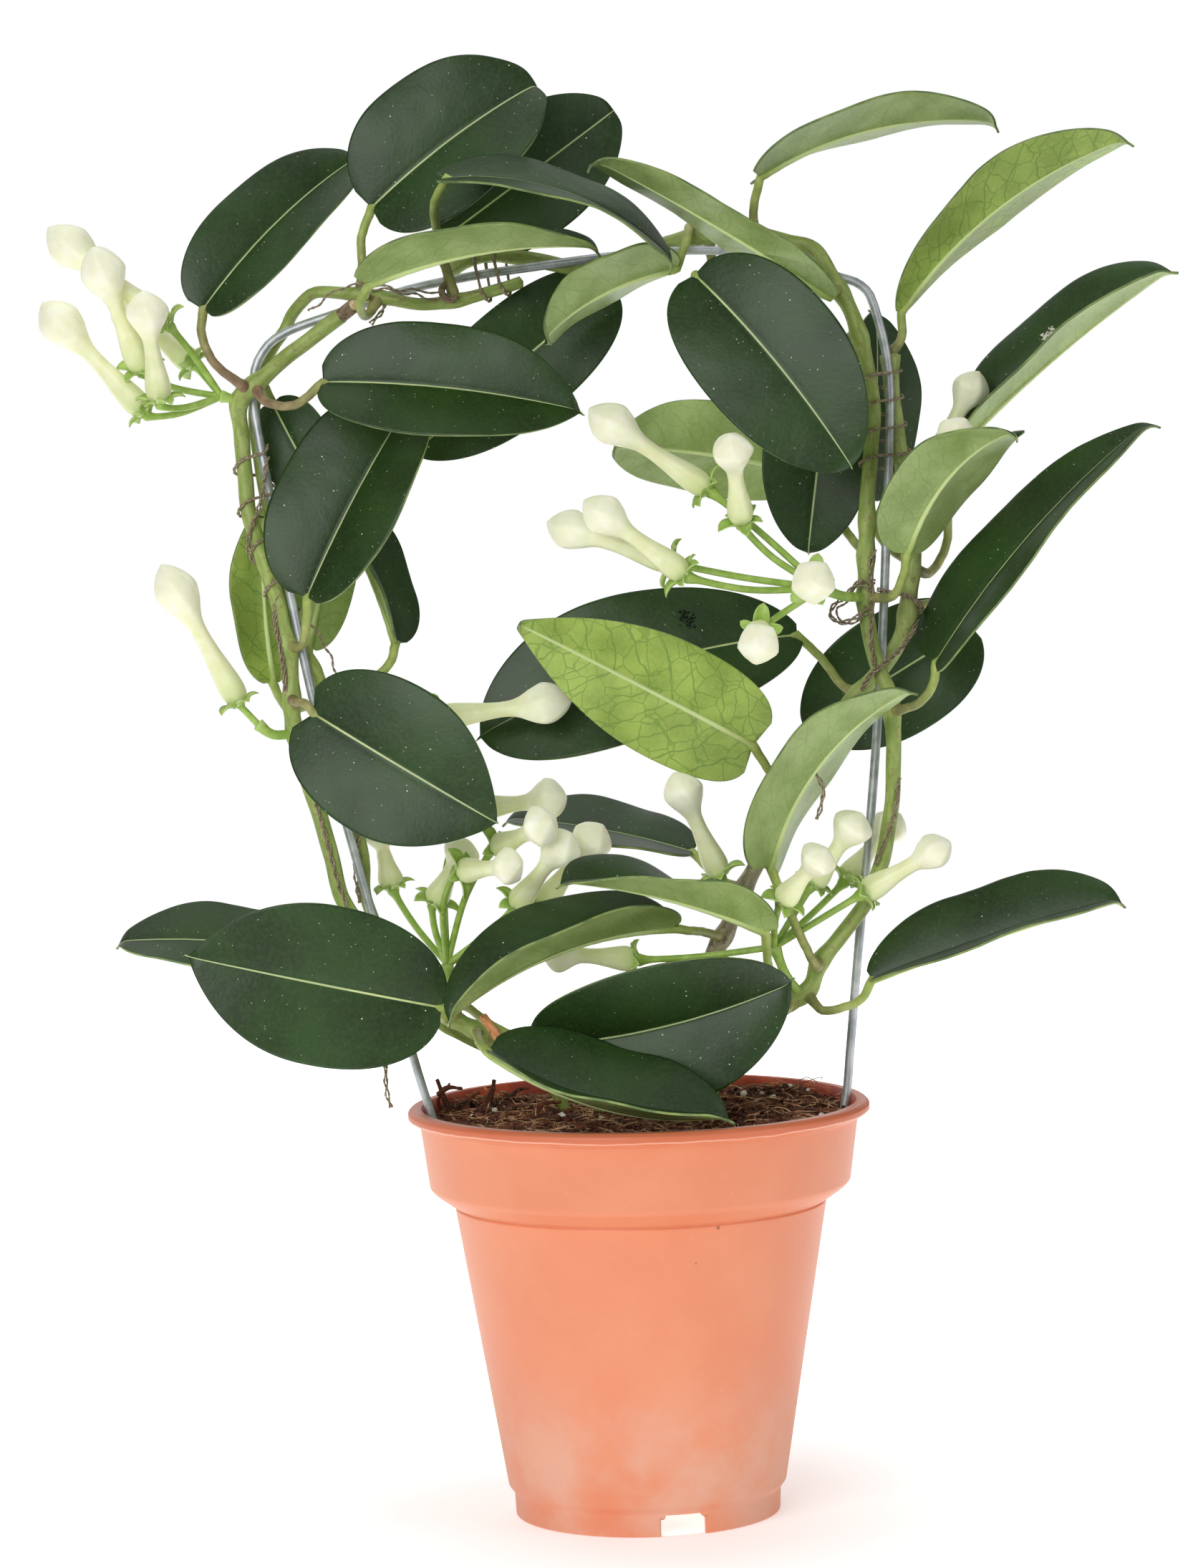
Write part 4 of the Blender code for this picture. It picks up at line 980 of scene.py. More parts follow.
# Loose string: how many strands, and the points they pass.
LOOSE_STRING = (
    (1, ((-86, -8, 339.9), (-81.8, -10, 343.1), (-76.6, -10, 346.1), (-71, -9.4, 346.6),
         (-65, -9.6, 346.2), (-60, -10, 345.2), (-54.4, -10, 344.7), (-47.7, -10, 343.4),
         (-38.4, -9, 342.8))),
    (1, ((-71.2, -9, 346), (-65, -10.4, 345.4), (-58, -10.4, 343.8), (-49.5, -10.6, 342.4),
         (-42, -9.6, 343.4), (-34, -8.6, 344.8))),
    (2, ((-69, -9.6, 336), (-67.6, -10, 337.4), (-66.4, -9.8, 338.6), (-65.4, -9.2, 340),
         (-64.8, -8.4, 341.4))),
    (2, ((69.5, -4, 270), (68.2, -4.8, 264), (68.4, -5, 254), (68, -6.8, 244), (68.6, -6.8, 237))),
    (2, ((69.5, -4.5, 261), (65, -5.5, 261), (62, -8, 258.5), (60.5, -7, 257), (57.5, -4, 254.5),
         (57, -4, 251.5), (60, -7, 250), (64, -7, 251.5), (67, -5.5, 254))),
    (1, ((69, -4.5, 259), (64.5, -6, 259.5), (61, -7, 255.5), (58.5, -5, 253), (59, -5, 250.5),
         (63.5, -7, 250), (67, -5, 252))),
    (3, ((70, -5.5, 259), (74, -4.5, 258), (78, -3.4, 257), (81, -2.2, 255), (82.4, 0.5, 253),
         (80.5, 4.5, 250.5))),
    (3, ((81.5, 2, 250), (80.6, 0, 247.5), (78.6, -0.5, 244.5), (75, -3.5, 241), (71, -7.2, 238),
         (67.5, -7.6, 235), (65, -6, 231))),
    (2, ((75, -3.6, 206), (74.4, -4.4, 200), (72.6, -4.8, 193), (70.4, -5.4, 188), (67.8, -5.8, 182))),
    (2, ((51, -18, 209), (53.2, -18, 205), (52.8, -18.6, 201.5), (52, -19, 198.6), (51.1, -19, 196.2))),
    (2, ((-98.6, -9, 300), (-100.2, -11, 290), (-102, -12.4, 284), (-104, -12.6, 279),
         (-104.6, -11, 274), (-103, -8, 270))),
    (3, ((-97, -10.5, 262), (-97.8, -11, 254), (-96.6, -11.4, 247), (-95.6, -11.8, 240),
         (-95, -11.5, 232))),
    (1, ((-90, -8, 257), (-87.5, -8, 252.5), (-85, -7, 248.5), (-83, -6, 243.5), (-80.7, -5, 238),
         (-79, -5, 234))),
    (2, ((-88, -13.4, 206), (-86.4, -14.4, 199), (-84.6, -14.8, 192), (-82.6, -15.4, 184),
         (-79.8, -15.6, 174))),
    (2, ((-75.5, -7.4, 197), (-77.3, -7.4, 189), (-77.6, -7.4, 183), (-76.6, -7.4, 175))),
    (2, ((-67, -9.9, 148), (-68.6, -11, 142), (-70.2, -12, 134), (-70.4, -12.5, 127),
         (-70.2, -12.5, 122), (-69.3, -12.5, 117.8))),
)


# Cut ends: where each starts and ends, its radius, and whether its skin is thin.
CUT_ENDS = (
    ((-77.4, -8, 338.3), (-73.4, -12.6, 341), 2.0, False),
    ((-71, -6.6, 344), (-70.2, -12.4, 343.8), 1.6, True),
)
CURLED_STUB = (
    (-46.5, -8.6, 347), (-48.8, -11, 345.4), (-48.6, -13, 342.8), (-46.4, -13.4, 341.8),
    (-44.8, -12.6, 343),
)


def cut_ends():
    """The cut ends of old shoots, with their hearts, and a dry curled one."""
    wood = grainy("cut_wood", 0.8, 0.0006, "#C4A06C", "#E6DBB2", 0.4, high=0.7)
    old = bark("old_shoot", "#6F5C48", "#A08B70", "#46382B", 0.8)
    skin, heart = Shell(), Shell()
    for start, end, radius, thin in CUT_ENDS:
        start, end = np.array(start, float), np.array(end, float)
        path = smooth_path([start, (start + end) / 2, end], 0.7)
        skin.tube(path, [radius * (0.8 if thin else 1.0)] * len(path), 16)
        way = unit(end - start)
        radii = [radius * share for share in (0.8, 0.74, 0.5)]
        heart.tube([end, end + way * 0.6, end + way * 0.7], radii, 16)
    path = smooth_path(CURLED_STUB, 0.7)
    skin.tube(path, [1.15 - 0.5 * i / len(path) for i in range(len(path))], 12)
    skin.build("cut_shoots", [old], "dry_stalk")
    heart.build("cut_hearts", [wood], "dry_stalk")


# ---------------------------------------------------------------- buds

# A closed bud along its axis: share of the length, and radius in millimetres.
BUD_PROFILE = (
    (0.0, 2.6), (0.03, 3.3), (0.08, 3.65), (0.14, 3.6), (0.24, 3.1), (0.36, 2.45), (0.48, 2.1),
    (0.56, 2.3), (0.62, 3.0), (0.67, 4.0), (0.72, 5.0), (0.77, 5.75), (0.815, 6.05), (0.86, 5.7),
    (0.91, 4.6), (0.95, 3.2), (0.98, 1.8), (0.998, 0.5),
)
SEPAL_LENGTH = 5.8
SEPAL_WIDTH = 4.4


def bud_cream():
    paint = Paint("bud_cream", roughness=0.45)
    turn, _, share = paint.split(paint.place())
    tone = paint.noise(paint.where(), 0.004, 3.0)
    head = paint.toned(tone, "#EFF0D2", "#F7F7E4")
    tube = paint.toned(tone, "#E2E6B4", "#EDF0CA")
    base = paint.mix(paint.band(share, 0.5, 0.75), tube, head)
    base = paint.tint(base, paint.band(share, 0.3, 0.0), "#C6D58C", 0.7)
    stripes = paint.math("SINE", paint.times(turn, 10.0))
    stripes = paint.times(paint.band(stripes, 0.2, 1.0), paint.band(share, 0.62, 0.2))
    base = paint.tint(base, stripes, "#D3DC9E", 0.22)
    fine = paint.noise(paint.where(), 0.0012, 3.0)
    paint.give("Subsurface Weight", 0.3)
    paint.give("Subsurface Scale", 0.003)
    # Painted light: the buds glow faintly, standing in for light that shines through their petals.
    paint.give("Emission Color", "#EEF5C4")
    paint.give("Emission Strength", 0.09)
    return paint.finish(base, None, fine, 0.08, 0.0003)


def bud_green():
    paint = Paint("bud_green", roughness=0.45)
    tone = paint.noise(paint.where(), 0.003, 4.0)
    base = paint.toned(tone, "#93B54C", "#AECB68")
    _, _, share = paint.split(paint.place())
    base = paint.tint(base, paint.band(share, 0.9, 1.0), "#CDE08F", 0.5)
    fine = paint.noise(paint.where(), 0.0008, 3.0)
    return paint.finish(base, None, fine, 0.25, 0.0003)


def petals(run, turn, share):
    """The section of a bud: five petals folded over each other in the head, and a faintly ribbed tube."""
    head = min(1.0, max(0.0, (share - 0.6) / 0.14))
    wind = turn + 1.6 * (share - 0.6)
    flat = (wind % (2 * math.pi / 5)) - math.pi / 5
    five_sided = 0.93 / math.cos(flat) - 0.06
    seam = 0.055 * math.exp(-((math.sin(2.5 * wind + 0.9) / 0.14) ** 2)) * min(1.0, (1 - share) * 9)
    return 1 + head * (0.5 * (five_sided - 1) - seam) + (1 - head) * 0.025 * math.cos(5 * turn)


def bud(cream, green, crown, calyx, tip, size, seed):
    """One bud with its stalklet, five sepals, tube and folded head."""
    calyx, tip = np.array(calyx, float), np.array(tip, float)
    length = np.linalg.norm(tip - calyx)
    axis = (tip - calyx) / length
    out = unit(calyx - crown)
    reach = np.linalg.norm(calyx - crown)
    bend = crown + (calyx - crown) * 0.5 + (out - axis) * 0.12 * reach
    path = smooth_path([crown - out * 0.6, bend, calyx - axis * 1.5, calyx + axis * 0.6], 1.8)
    radii = [0.95 + 1.1 * bell for bell in knob(path, 0.1)]
    green.tube(path, radii, 12, span=(0.0, 0.5))
    shares = np.array([s for s, _ in BUD_PROFILE])
    widths = np.array([r for _, r in BUD_PROFILE])
    fine = np.concatenate([np.linspace(0, 0.56, 14), np.linspace(0.585, 0.998, 26)])
    path = np.array([calyx + axis * length * s for s in fine])
    smooth = np.interp(fine, shares, widths)
    smooth[1:-1] = (smooth[:-2] + 2 * smooth[1:-1] + smooth[2:]) / 4
    radii = smooth * np.where(fine > 0.5, 1 + (size - 1) * np.minimum(1, (fine - 0.5) / 0.1), 1.0)
    cream.tube(path, radii, 40, shape=petals)
    side = unit(np.cross(axis, (0.3, 0.2, 0.9)))
    other = np.cross(axis, side)
    for k in range(5):
        turn = seed + 2 * math.pi * k / 5
        away = side * math.cos(turn) + other * math.sin(turn)
        tangent = np.cross(axis, away)
        sepal(green, calyx - axis * 0.6, axis, away, tangent, 0.85 + 0.2 * math.sin(seed * 7 + k * 2.3))


def sepal(shell, root, axis, away, tangent, grow):
    """A small pointed oval blade that spreads from the foot of the bud."""
    rows, columns = 8, 4
    length, width = SEPAL_LENGTH * grow, SEPAL_WIDTH * grow
    upper, lower, values = [], [], []
    for i in range(rows + 1):
        t = i / rows
        lean = 0.75 + 0.7 * t
        middle = root + away * (2.1 + length * t * math.sin(lean)) + axis * length * t * math.cos(lean)
        normal = axis * math.sin(lean) - away * math.cos(lean)
        half = width / 2 * max(0.0, 1 - abs(2 * t**0.8 - 1) ** 2.4) ** 0.6 if 0 < i < rows else 0.02
        for k in range(columns + 1):
            u = 2 * k / columns - 1
            place = middle + tangent * half * u + normal * 0.5 * u * u * half
            upper.append(place + normal * 0.22)
            lower.append(place - normal * 0.22)
            values.append((u, length * t, 0.6 + 0.4 * max(abs(u), t**4)))
    wide = columns + 1
    count = len(upper)
    faces = []
    for i in range(rows):
        for k in range(columns):
            a, b = i * wide + k, (i + 1) * wide + k
            faces.append((a, a + 1, b + 1, b))
            faces.append((count + a, count + b, count + b + 1, count + a + 1))
        for k in (0, columns):
            a, b = i * wide + k, (i + 1) * wide + k
            side = (a, b, count + b, count + a)
            faces.append(side if k == 0 else side[::-1])
    for i in (0, rows):
        for k in range(columns):
            a = i * wide + k
            end = (a, count + a, count + a + 1, a + 1)
            faces.append(end if i == 0 else end[::-1])
    shell.add(upper + lower, faces, values + values)


def spray(name, stem, peduncle, buds, cream_paint, green_paint):
    cream, green = Shell(), Shell()
    foot = stem_point(stem, peduncle[0])
    crown = np.array(peduncle[-1], float)
    path = smooth_path([foot, *peduncle], 1.8)
    radii = [1.35 + 0.5 * bell for bell in knob(path, 0.15)]
    green.tube(path, radii, 12)
    for number, (calyx, tip, size) in enumerate(buds):
        bud(cream, green, crown, calyx, tip, size, number * 1.3 + len(name))
    green.build(name + "_green", [green_paint], "green_stem", [name])
    cream.build(name + "_cream", [cream_paint], "flower_bud", [name])


# ---------------------------------------------------------------- pot and soil

POT_STEPS = 180
# How far the turned wall strays from a true circle, and the lip's lower edge from level.
POT_WOBBLE = 0.12
FLASH_HEIGHT = 0.22
# Heights in metres between which the chalky bloom on the pot fades in, downwards.
CHALK_START = 0.056
CHALK_FULL = 0.014


def pot_outer():
    paint = Paint("pot_plastic", roughness=0.45)
    where = paint.where()
    _, _, height = paint.split(where)
    tone = paint.noise(where, 0.03, 3.0)
    base = paint.toned(tone, "#DF8660", "#E38F69", 0.3, 0.7)
    chalk = paint.noise(where, 0.02, 6.0)
    low = paint.band(height, CHALK_START, CHALK_FULL)
    chalk = paint.times(paint.band(chalk, 0.3, 0.7), low)
    base = paint.tint(base, chalk, "#DDB6A2", 0.6)
    grain = paint.noise(where, 0.0015, 4.0)
    base = paint.tint(base, paint.band(grain, 0.6, 0.72), "#F3C4AA", 0.06)
    wander = paint.math("MULTIPLY_ADD", paint.noise(where, 0.014, 3.0), 0.0016, height)
    lip_low = (POT_HEIGHT - LIP_THICKNESS) * 0.001
    base = paint.tint(base, paint.band(height, lip_low, lip_low + 0.0006), "#C95F3C", 0.62)
    seam = paint.math("ABSOLUTE", paint.minus(wander, lip_low + 0.0016))
    seam = paint.inverse(paint.band(seam, 0.0001, 0.00035))
    base = paint.tint(base, seam, "#F2B497", 0.7)
    nicks = dust(paint, where, 0.021, 0.035, 0.55)
    base = paint.tint(base, nicks, "#8E4E36", 0.75)
    roughness = paint.plus(paint.times(tone, 0.15), 0.36)
    roughness = paint.plus(roughness, paint.times(chalk, 0.25))
    return paint.finish(base, roughness, grain, 0.12, 0.0003)


def pot_inner():
    paint = Paint("pot_inside_shaded", roughness=0.6)
    where = paint.where()
    shade_mottle = paint.noise(where, 0.01, 5.0)
    # The inside wall is painted darker and redder than the same plastic outside: painted shade inside the
    # pot, mottled at random.
    base = paint.toned(shade_mottle, "#98331A", "#C4502C", 0.35, 0.65)
    return paint.finish(base, None, shade_mottle, 0.15, 0.0004)


def inner_radius(z):
    """The pot's bore at a height."""
    if z > BAND_LOW - 2.0:
        share = (z - BAND_LOW) / (POT_HEIGHT - BAND_LOW)
        return BAND_LOW_RADIUS - WALL + share * (LIP_BORE - BAND_LOW_RADIUS + WALL)
    share = (z - BODY_LOW) / (BODY_TOP - BODY_LOW)
    return BODY_LOW_RADIUS - WALL + share * (BODY_TOP_RADIUS - BODY_LOW_RADIUS)


def rounded(points, radius, steps=4, support=0.25):
    """A profile with its corners rounded, as a list of (radius, height)."""
    made = []
    for before, here, after in zip(points, points[1:], points[2:]):
        before, here, after = (np.array(p, float) for p in (before, here, after))
        back = min(radius, 0.45 * np.linalg.norm(here - before))
        on = min(radius, 0.45 * np.linalg.norm(after - here))
        start, end = here + unit(before - here) * back, here + unit(after - here) * on
        if np.linalg.norm(start - before) > 2 * support:
            made.append(tuple(start + unit(before - start) * support))
        for i in range(steps + 1):
            t = i / steps
            made.append(tuple((1 - t) ** 2 * start + 2 * t * (1 - t) * here + t * t * end))
        if np.linalg.norm(after - end) > 2 * support:
            made.append(tuple(end + unit(after - end) * support))
    return [tuple(points[0]), *made, tuple(points[-1])]


def pot(outer_paint, inner_paint):
    """The pot turned from one profile, with its notches and drain holes cut through."""
    foot_bore, lip_low, rim = FOOT_RADIUS - WALL, POT_HEIGHT - LIP_THICKNESS, LIP_BORE + 0.6
    outside = rounded((
        (0.0, FOOT_TOP), (foot_bore, FOOT_TOP), (foot_bore, 0.0), (FOOT_RADIUS, 0.0),
        (FOOT_TOP_RADIUS, FOOT_TOP), (BODY_LOW_RADIUS, BODY_LOW), (BODY_TOP_RADIUS, BODY_TOP - 0.6),
        (BODY_TOP_RADIUS - 0.45, BODY_TOP - 0.1), (BODY_TOP_RADIUS + 1.2, BODY_TOP + 0.6),
        (BAND_LOW_RADIUS - 1.0, BAND_LOW), (BAND_LOW_RADIUS, BAND_LOW + 1.2),
        (BAND_TOP_RADIUS, lip_low - 0.8), (LIP_RADIUS - 1.2, lip_low), (LIP_RADIUS, lip_low + 0.9),
        (LIP_RADIUS, POT_HEIGHT - 1.0), (LIP_RADIUS - 1.0, POT_HEIGHT), (rim, POT_HEIGHT),
    ), 0.4)
    inside = rounded((
        (rim, POT_HEIGHT), (LIP_BORE - 0.4, POT_HEIGHT - 2.5), (BAND_LOW_RADIUS - WALL, BAND_LOW),
        (BODY_TOP_RADIUS - WALL + 1.0, BAND_LOW - 2.0), (BODY_TOP_RADIUS - WALL, BODY_TOP),
        (BODY_LOW_RADIUS - WALL, BODY_LOW - 0.1), (0.0, BODY_LOW - 0.1),
    ), 0.7)
    profile = outside + inside[1:]
    points = []
    for radius, height in profile:
        for k in range(POT_STEPS):
            turn = 2 * math.pi * k / POT_STEPS
            x, y = math.cos(turn), math.sin(turn)
            wobble = noise.noise(Vector((x, y, height / 40))) if radius > 30 else 0.0
            flash = 0.0
            if radius > LIP_RADIUS - 1.6 and height < POT_HEIGHT - 2.4:
                flash = noise.noise(Vector((6 * x, 6 * y, 0.0)))
            wall = radius + POT_WOBBLE * wobble
            points.append(np.array((wall * x, wall * y, height + FLASH_HEIGHT * flash)))
    shell = Shell()
    shell.add(points, ring_faces(len(profile), POT_STEPS), [BLANK] * len(points))
    inner_start = (len(outside) - 1) * POT_STEPS
    paints = [outer_paint, inner_paint]
    made = shell.build("pot_smooth", paints, "terracotta_plastic", ["pot"], second_from=inner_start)
    shape = bmesh.new()
    shape.from_mesh(made.data)
    bmesh.ops.remove_doubles(shape, verts=shape.verts, dist=1e-6)
    bmesh.ops.recalc_face_normals(shape, faces=shape.faces)
    shape.to_mesh(made.data)
    shape.free()
    cutters = []
    for angle in NOTCH_ANGLES:
        turn = math.radians(angle)
        x, y = math.cos(turn), math.sin(turn)
        shape = bmesh.new()
        bmesh.ops.create_cube(shape, size=1.0)
        middle = FOOT_RADIUS - WALL / 2
        size = Matrix.Diagonal((10 * MM, NOTCH_WIDTH * MM, 2 * (FOOT_TOP - 0.5) * MM, 1.0))
        at = Matrix.Translation((middle * x * MM, middle * y * MM, 0.0))
        bmesh.ops.transform(shape, matrix=at @ Matrix.Rotation(turn, 4, "Z") @ size, verts=shape.verts)
        bevelled = [e for e in shape.edges if abs(e.verts[0].co.z - e.verts[1].co.z) < 1e-5]
        bmesh.ops.bevel(shape, geom=bevelled, offset=0.0012, segments=3, affect="EDGES")
        cutters.append(linked_shape("notch", shape))
        shape = bmesh.new()
        drain = DRAIN_RADIUS * MM
        bmesh.ops.create_cone(shape, cap_ends=True, segments=32, radius1=drain, radius2=drain, depth=6 * MM)
        at = (DRAIN_CIRCLE * x * MM, DRAIN_CIRCLE * y * MM, 7.5 * MM)
        bmesh.ops.translate(shape, vec=at, verts=shape.verts)
        cutters.append(linked_shape("drain", shape))
    for cutter in cutters:
        cut = made.modifiers.new(cutter.name, "BOOLEAN")
        cut.operation, cut.solver, cut.object = "DIFFERENCE", "EXACT", cutter
    bake_modifiers(made)
    for cutter in cutters:
        bpy.data.objects.remove(cutter)


def bake_modifiers(made):
    """Puts the modifiers' result into the mesh, so that their helpers can go."""
    graph = bpy.context.evaluated_depsgraph_get()
    mesh = bpy.data.meshes.new_from_object(made.evaluated_get(graph))
    made.modifiers.clear()
    made.data = mesh


def soil_height(x, y):
    """The top of the soil in millimetres: rough ground with a rise at the back on either side."""
    r = math.hypot(x, y)
    rough_ground = 0.9 * math.sin(0.31 * x + 1.0) * math.cos(0.27 * y) + 0.7 * math.sin(0.52 * y - 0.4 * x)
    rise = 3.4 * math.exp(-((x - 40) ** 2 + (y - 24) ** 2) / 500)
    rise += 2.6 * math.exp(-((x + 42) ** 2 + (y - 22) ** 2) / 300)
    return SOIL_LEVEL + rough_ground * min(1.0, r / 12) + rise


# Pieces of bark and root that stand up out of the soil, and how thick each is.
BARK_STICKS = (
    (((-53, 12, 111), (-55.5, 11, 118), (-57, 10, 122.5)), 1.0),
    (((-57, 11, 118), (-54, 11, 120), (-50, 12, 119.5)), 0.8),
    (((-55, 14, 112), (-57, 13, 116), (-53.5, 13, 121)), 0.6),
    (((-46, 18, 111), (-42, 18, 117), (-41, 18, 121)), 1.1),
    (((-49, 10, 112), (-48, 10, 117), (-45, 11, 118.5)), 0.9),
    (((-38, 22, 112), (-35, 22, 117), (-31, 22, 118)), 0.7),
    (((-30, 10, 112), (-27, 9, 115), (-22, 8, 115.5)), 0.8),
    (((43, 30, 112), (44, 31, 115), (47, 31, 115.4)), 0.6),
    (((33, 22, 112), (36, 20, 116), (41, 19, 116)), 0.9),
    (((20, -20, 112), (25, -21, 115), (30, -21, 114)), 0.8),
    (((-20, -35, 112), (-14, -36, 115), (-8, -36, 114)), 0.7),
)


# Rings and sectors of the ground; its crumbs as height, width and seed; how much lies on it.
SOIL_RINGS = 66
SOIL_SECTORS = 220
SOIL_CRUMBS = ((2.4, 8, 1), (1.3, 3, 2), (0.8, 1.4, 3))
SOIL_SEED = 7
CHIPS = 2100
PERLITE = 30
FIBRES = 1700
FIBRE_PIECES = 7


def soil_paint(name, dark, light, fleck):
    paint = Paint(name, roughness=0.95)
    where = paint.where()
    coarse = paint.noise(where, 0.004, 6.0)
    fine = paint.noise(where, 0.0007, 4.0)
    base = paint.toned(coarse, dark, light)
    base = paint.tint(base, paint.band(fine, 0.58, 0.7), fleck, 0.8)
    height = paint.plus(coarse, paint.times(fine, 0.5))
    return paint.finish(base, None, height, 0.9, 0.0012)


def soil():
    ground = soil_paint("peat", "#38190E", "#6E3C26", "#A0694A")
    chips = soil_paint("bark_chips", "#3E2016", "#84492F", "#B98A62")
    fibre = Paint("root_fibres", roughness=0.8)
    tone = fibre.noise(fibre.where(), 0.004, 2.0)
    fibre = fibre.finish(fibre.toned(tone, "#7A452C", "#D8AE84", 0.4, 0.6))
    stone = grainy("perlite", 0.9, 0.0009, "#CFC8BC", "#F4F1EA", 0.6, distance=0.0004)
    edge = inner_radius(SOIL_LEVEL) - 0.2
    floor = BODY_LOW + 0.35
    points = []
    profile = [(inner_radius(z) - 0.35, z) for z in (floor, 40.0, 70.0, BODY_TOP - 1.0)]
    profile.append((inner_radius(BODY_TOP) - 0.35, BAND_LOW - 1.4))
    profile.append((inner_radius(BAND_LOW + 1) - 0.75, BAND_LOW + 1.0))
    turns = [2 * math.pi * k / SOIL_SECTORS for k in range(SOIL_SECTORS)]
    for radius, z in profile:
        points += [np.array((radius * math.cos(turn), radius * math.sin(turn), z)) for turn in turns]
    for i in range(SOIL_RINGS):
        radius = edge * (1 - i / SOIL_RINGS)
        for turn in turns:
            x, y = radius * math.cos(turn), radius * math.sin(turn)
            crumb = sum(high * rough((x, y, 0), wide, seed) for high, wide, seed in SOIL_CRUMBS)
            points.append(np.array((x, y, soil_height(x, y) + crumb - 0.6)))
    count = len(points)
    faces = ring_faces(count // SOIL_SECTORS, SOIL_SECTORS)
    faces += end_faces(count, count + 1, count - SOIL_SECTORS, SOIL_SECTORS)
    points += [np.array((0.0, 0.0, floor)), np.array((0.0, 0.0, soil_height(0, 0)))]
    shell = Shell()
    shell.add(points, faces, [BLANK] * len(points))
    shell.build("soil_ground", [ground], "potting_soil", ["soil"])

    draw = random.Random(SOIL_SEED)

    def spot(reach):
        """A place on the soil within this share of its radius."""
        radius, turn = edge * reach * math.sqrt(draw.random()), draw.uniform(0, 2 * math.pi)
        x, y = radius * math.cos(turn), radius * math.sin(turn)
        return np.array((x, y, soil_height(x, y)))

    bits = Shell()
    for _ in range(CHIPS):
        size = 0.5 + 1.6 * draw.random() ** 3
        squash = (draw.uniform(0.8, 2.0), draw.uniform(0.6, 1.0), draw.uniform(0.35, 0.8))
        place = spot(0.97) + np.array((0, 0, draw.uniform(-0.6, 1.2)))
        bits.lump(place, size, squash, draw.uniform(0, 6.3), draw.uniform(0, 99))
    bits.build("soil_chips", [chips], "potting_soil", smooth=False)
    stones = Shell()
    for _ in range(PERLITE):
        place = spot(0.95) + np.array((0, 0, draw.uniform(0.2, 1.4)))
        size, squash = draw.uniform(0.5, 1.15), (1.0, draw.uniform(0.7, 1.0), 0.8)
        stones.lump(place, size, squash, draw.uniform(0, 6.3), draw.uniform(0, 99), 2)
    stones.build("soil_perlite", [stone], "potting_soil", smooth=False)
    roots = Shell()
    for _ in range(FIBRES):
        place = spot(0.96)
        turn, length = draw.uniform(0, 6.3), draw.uniform(4, 17)
        way = np.array((math.cos(turn), math.sin(turn), draw.uniform(-0.1, 0.45)))
        curl = draw.uniform(-0.7, 0.7)
        path = [place + np.array((0, 0, draw.uniform(-0.3, 1.2)))]
        for _ in range(FIBRE_PIECES):
            path.append(path[-1] + way * length / FIBRE_PIECES)
            way = unit(np.array((
                way[0] * math.cos(curl) - way[1] * math.sin(curl),
                way[0] * math.sin(curl) + way[1] * math.cos(curl),
                way[2] - 0.14 + draw.uniform(-0.15, 0.15),
            )))
        path = np.array(path)
        away = np.hypot(path[:, 0], path[:, 1])
        path[:, :2] *= np.minimum(1.0, (edge - 0.5) / np.maximum(away, 1e-6))[:, None]
        thick = 0.07 + 0.15 * draw.random() ** 3
        roots.tube(path, [thick] * len(path), 5)
    roots.build("soil_fibres", [fibre], "potting_soil")
    sticks = Shell()
    for points, thick in BARK_STICKS:
        path = smooth_path(points, 0.9)
        radii = []
        for i, place in enumerate(path):
            radii.append(thick * (1 + 0.35 * rough(place, 1.5, 6)) * (1 - 0.4 * i / len(path)))
        sticks.tube(path, radii, 8)
    sticks.build("soil_sticks", [chips], "potting_soil", smooth=False)


# ---------------------------------------------------------------- stage


WHITE = (1.0, 1.0, 1.0, 1.0)
# How strongly the surroundings light the plant; they show as plain white themselves.
WORLD_LIGHT = 0.12
# Lights: name, place, what each points at, width and height, all in metres, and power in watts.
LIGHTS = (
    ("key", (-0.6, -1.35, 0.7), (0, 0, 0.18), (1.1, 0.9), 15.0),
    ("back", (-0.3, 1.5, 0.9), (0, 0, 0.25), (2.4, 1.6), 12.0),
    ("fill", (1.4, -0.7, 0.5), (0, 0, 0.2), (1.0, 1.2), 6.0),
    ("top", (0.0, 0.1, 1.6), (0, 0, 0.2), (1.3, 1.1), 6.5),
)
# The floor glows faintly round the pot and fully further off, so that only a soft shadow shows.
FLOOR_RADIUS = 0.95
FLOOR_MIDDLE = (0.0, 0.6, 0.0)
FLOOR_DROP = 0.0002
GLOW_REACH = (0.04, 0.25)
GLOW_NEAR = 0.35
# Round the pot's foot the floor glows as well: painted light under the pot, so that its notches look open
# and bright.
FOOT_REACH = (0.037, 0.034)
GLOW_UNDER_POT = 0.7


def camera():
    pitch, yaw, roll = CAMERA_DOWN, CAMERA_YAW, CAMERA_ROLL
    ahead = Vector((math.sin(yaw) * math.cos(pitch), math.cos(yaw) * math.cos(pitch), -math.sin(pitch)))
    right = Vector((math.cos(yaw), -math.sin(yaw), 0.0))
    up = right.cross(ahead)
    tilted_right = right * math.cos(roll) + up * math.sin(roll)
    tilted_up = up * math.cos(roll) - right * math.sin(roll)
    data = bpy.data.cameras.new("camera")
    data.lens = CAMERA_LENS
    data.sensor_width = 36.0
    data.sensor_fit = "AUTO"
    made = linked("camera", data)
    turn = Matrix((tilted_right, tilted_up, -ahead)).transposed().to_4x4()
    made.matrix_world = Matrix.Translation(CAMERA_PLACE) @ turn
    bpy.context.scene.camera = made


def light(name, place, target, size, power):
    data = bpy.data.lights.new(name, "AREA")
    data.shape = "RECTANGLE"
    data.size, data.size_y = size
    data.energy = power
    made = linked(name, data)
    way = Vector(target) - Vector(place)
    made.location = place
    made.visible_camera = False
    made.rotation_euler = way.to_track_quat("-Z", "Y").to_euler()


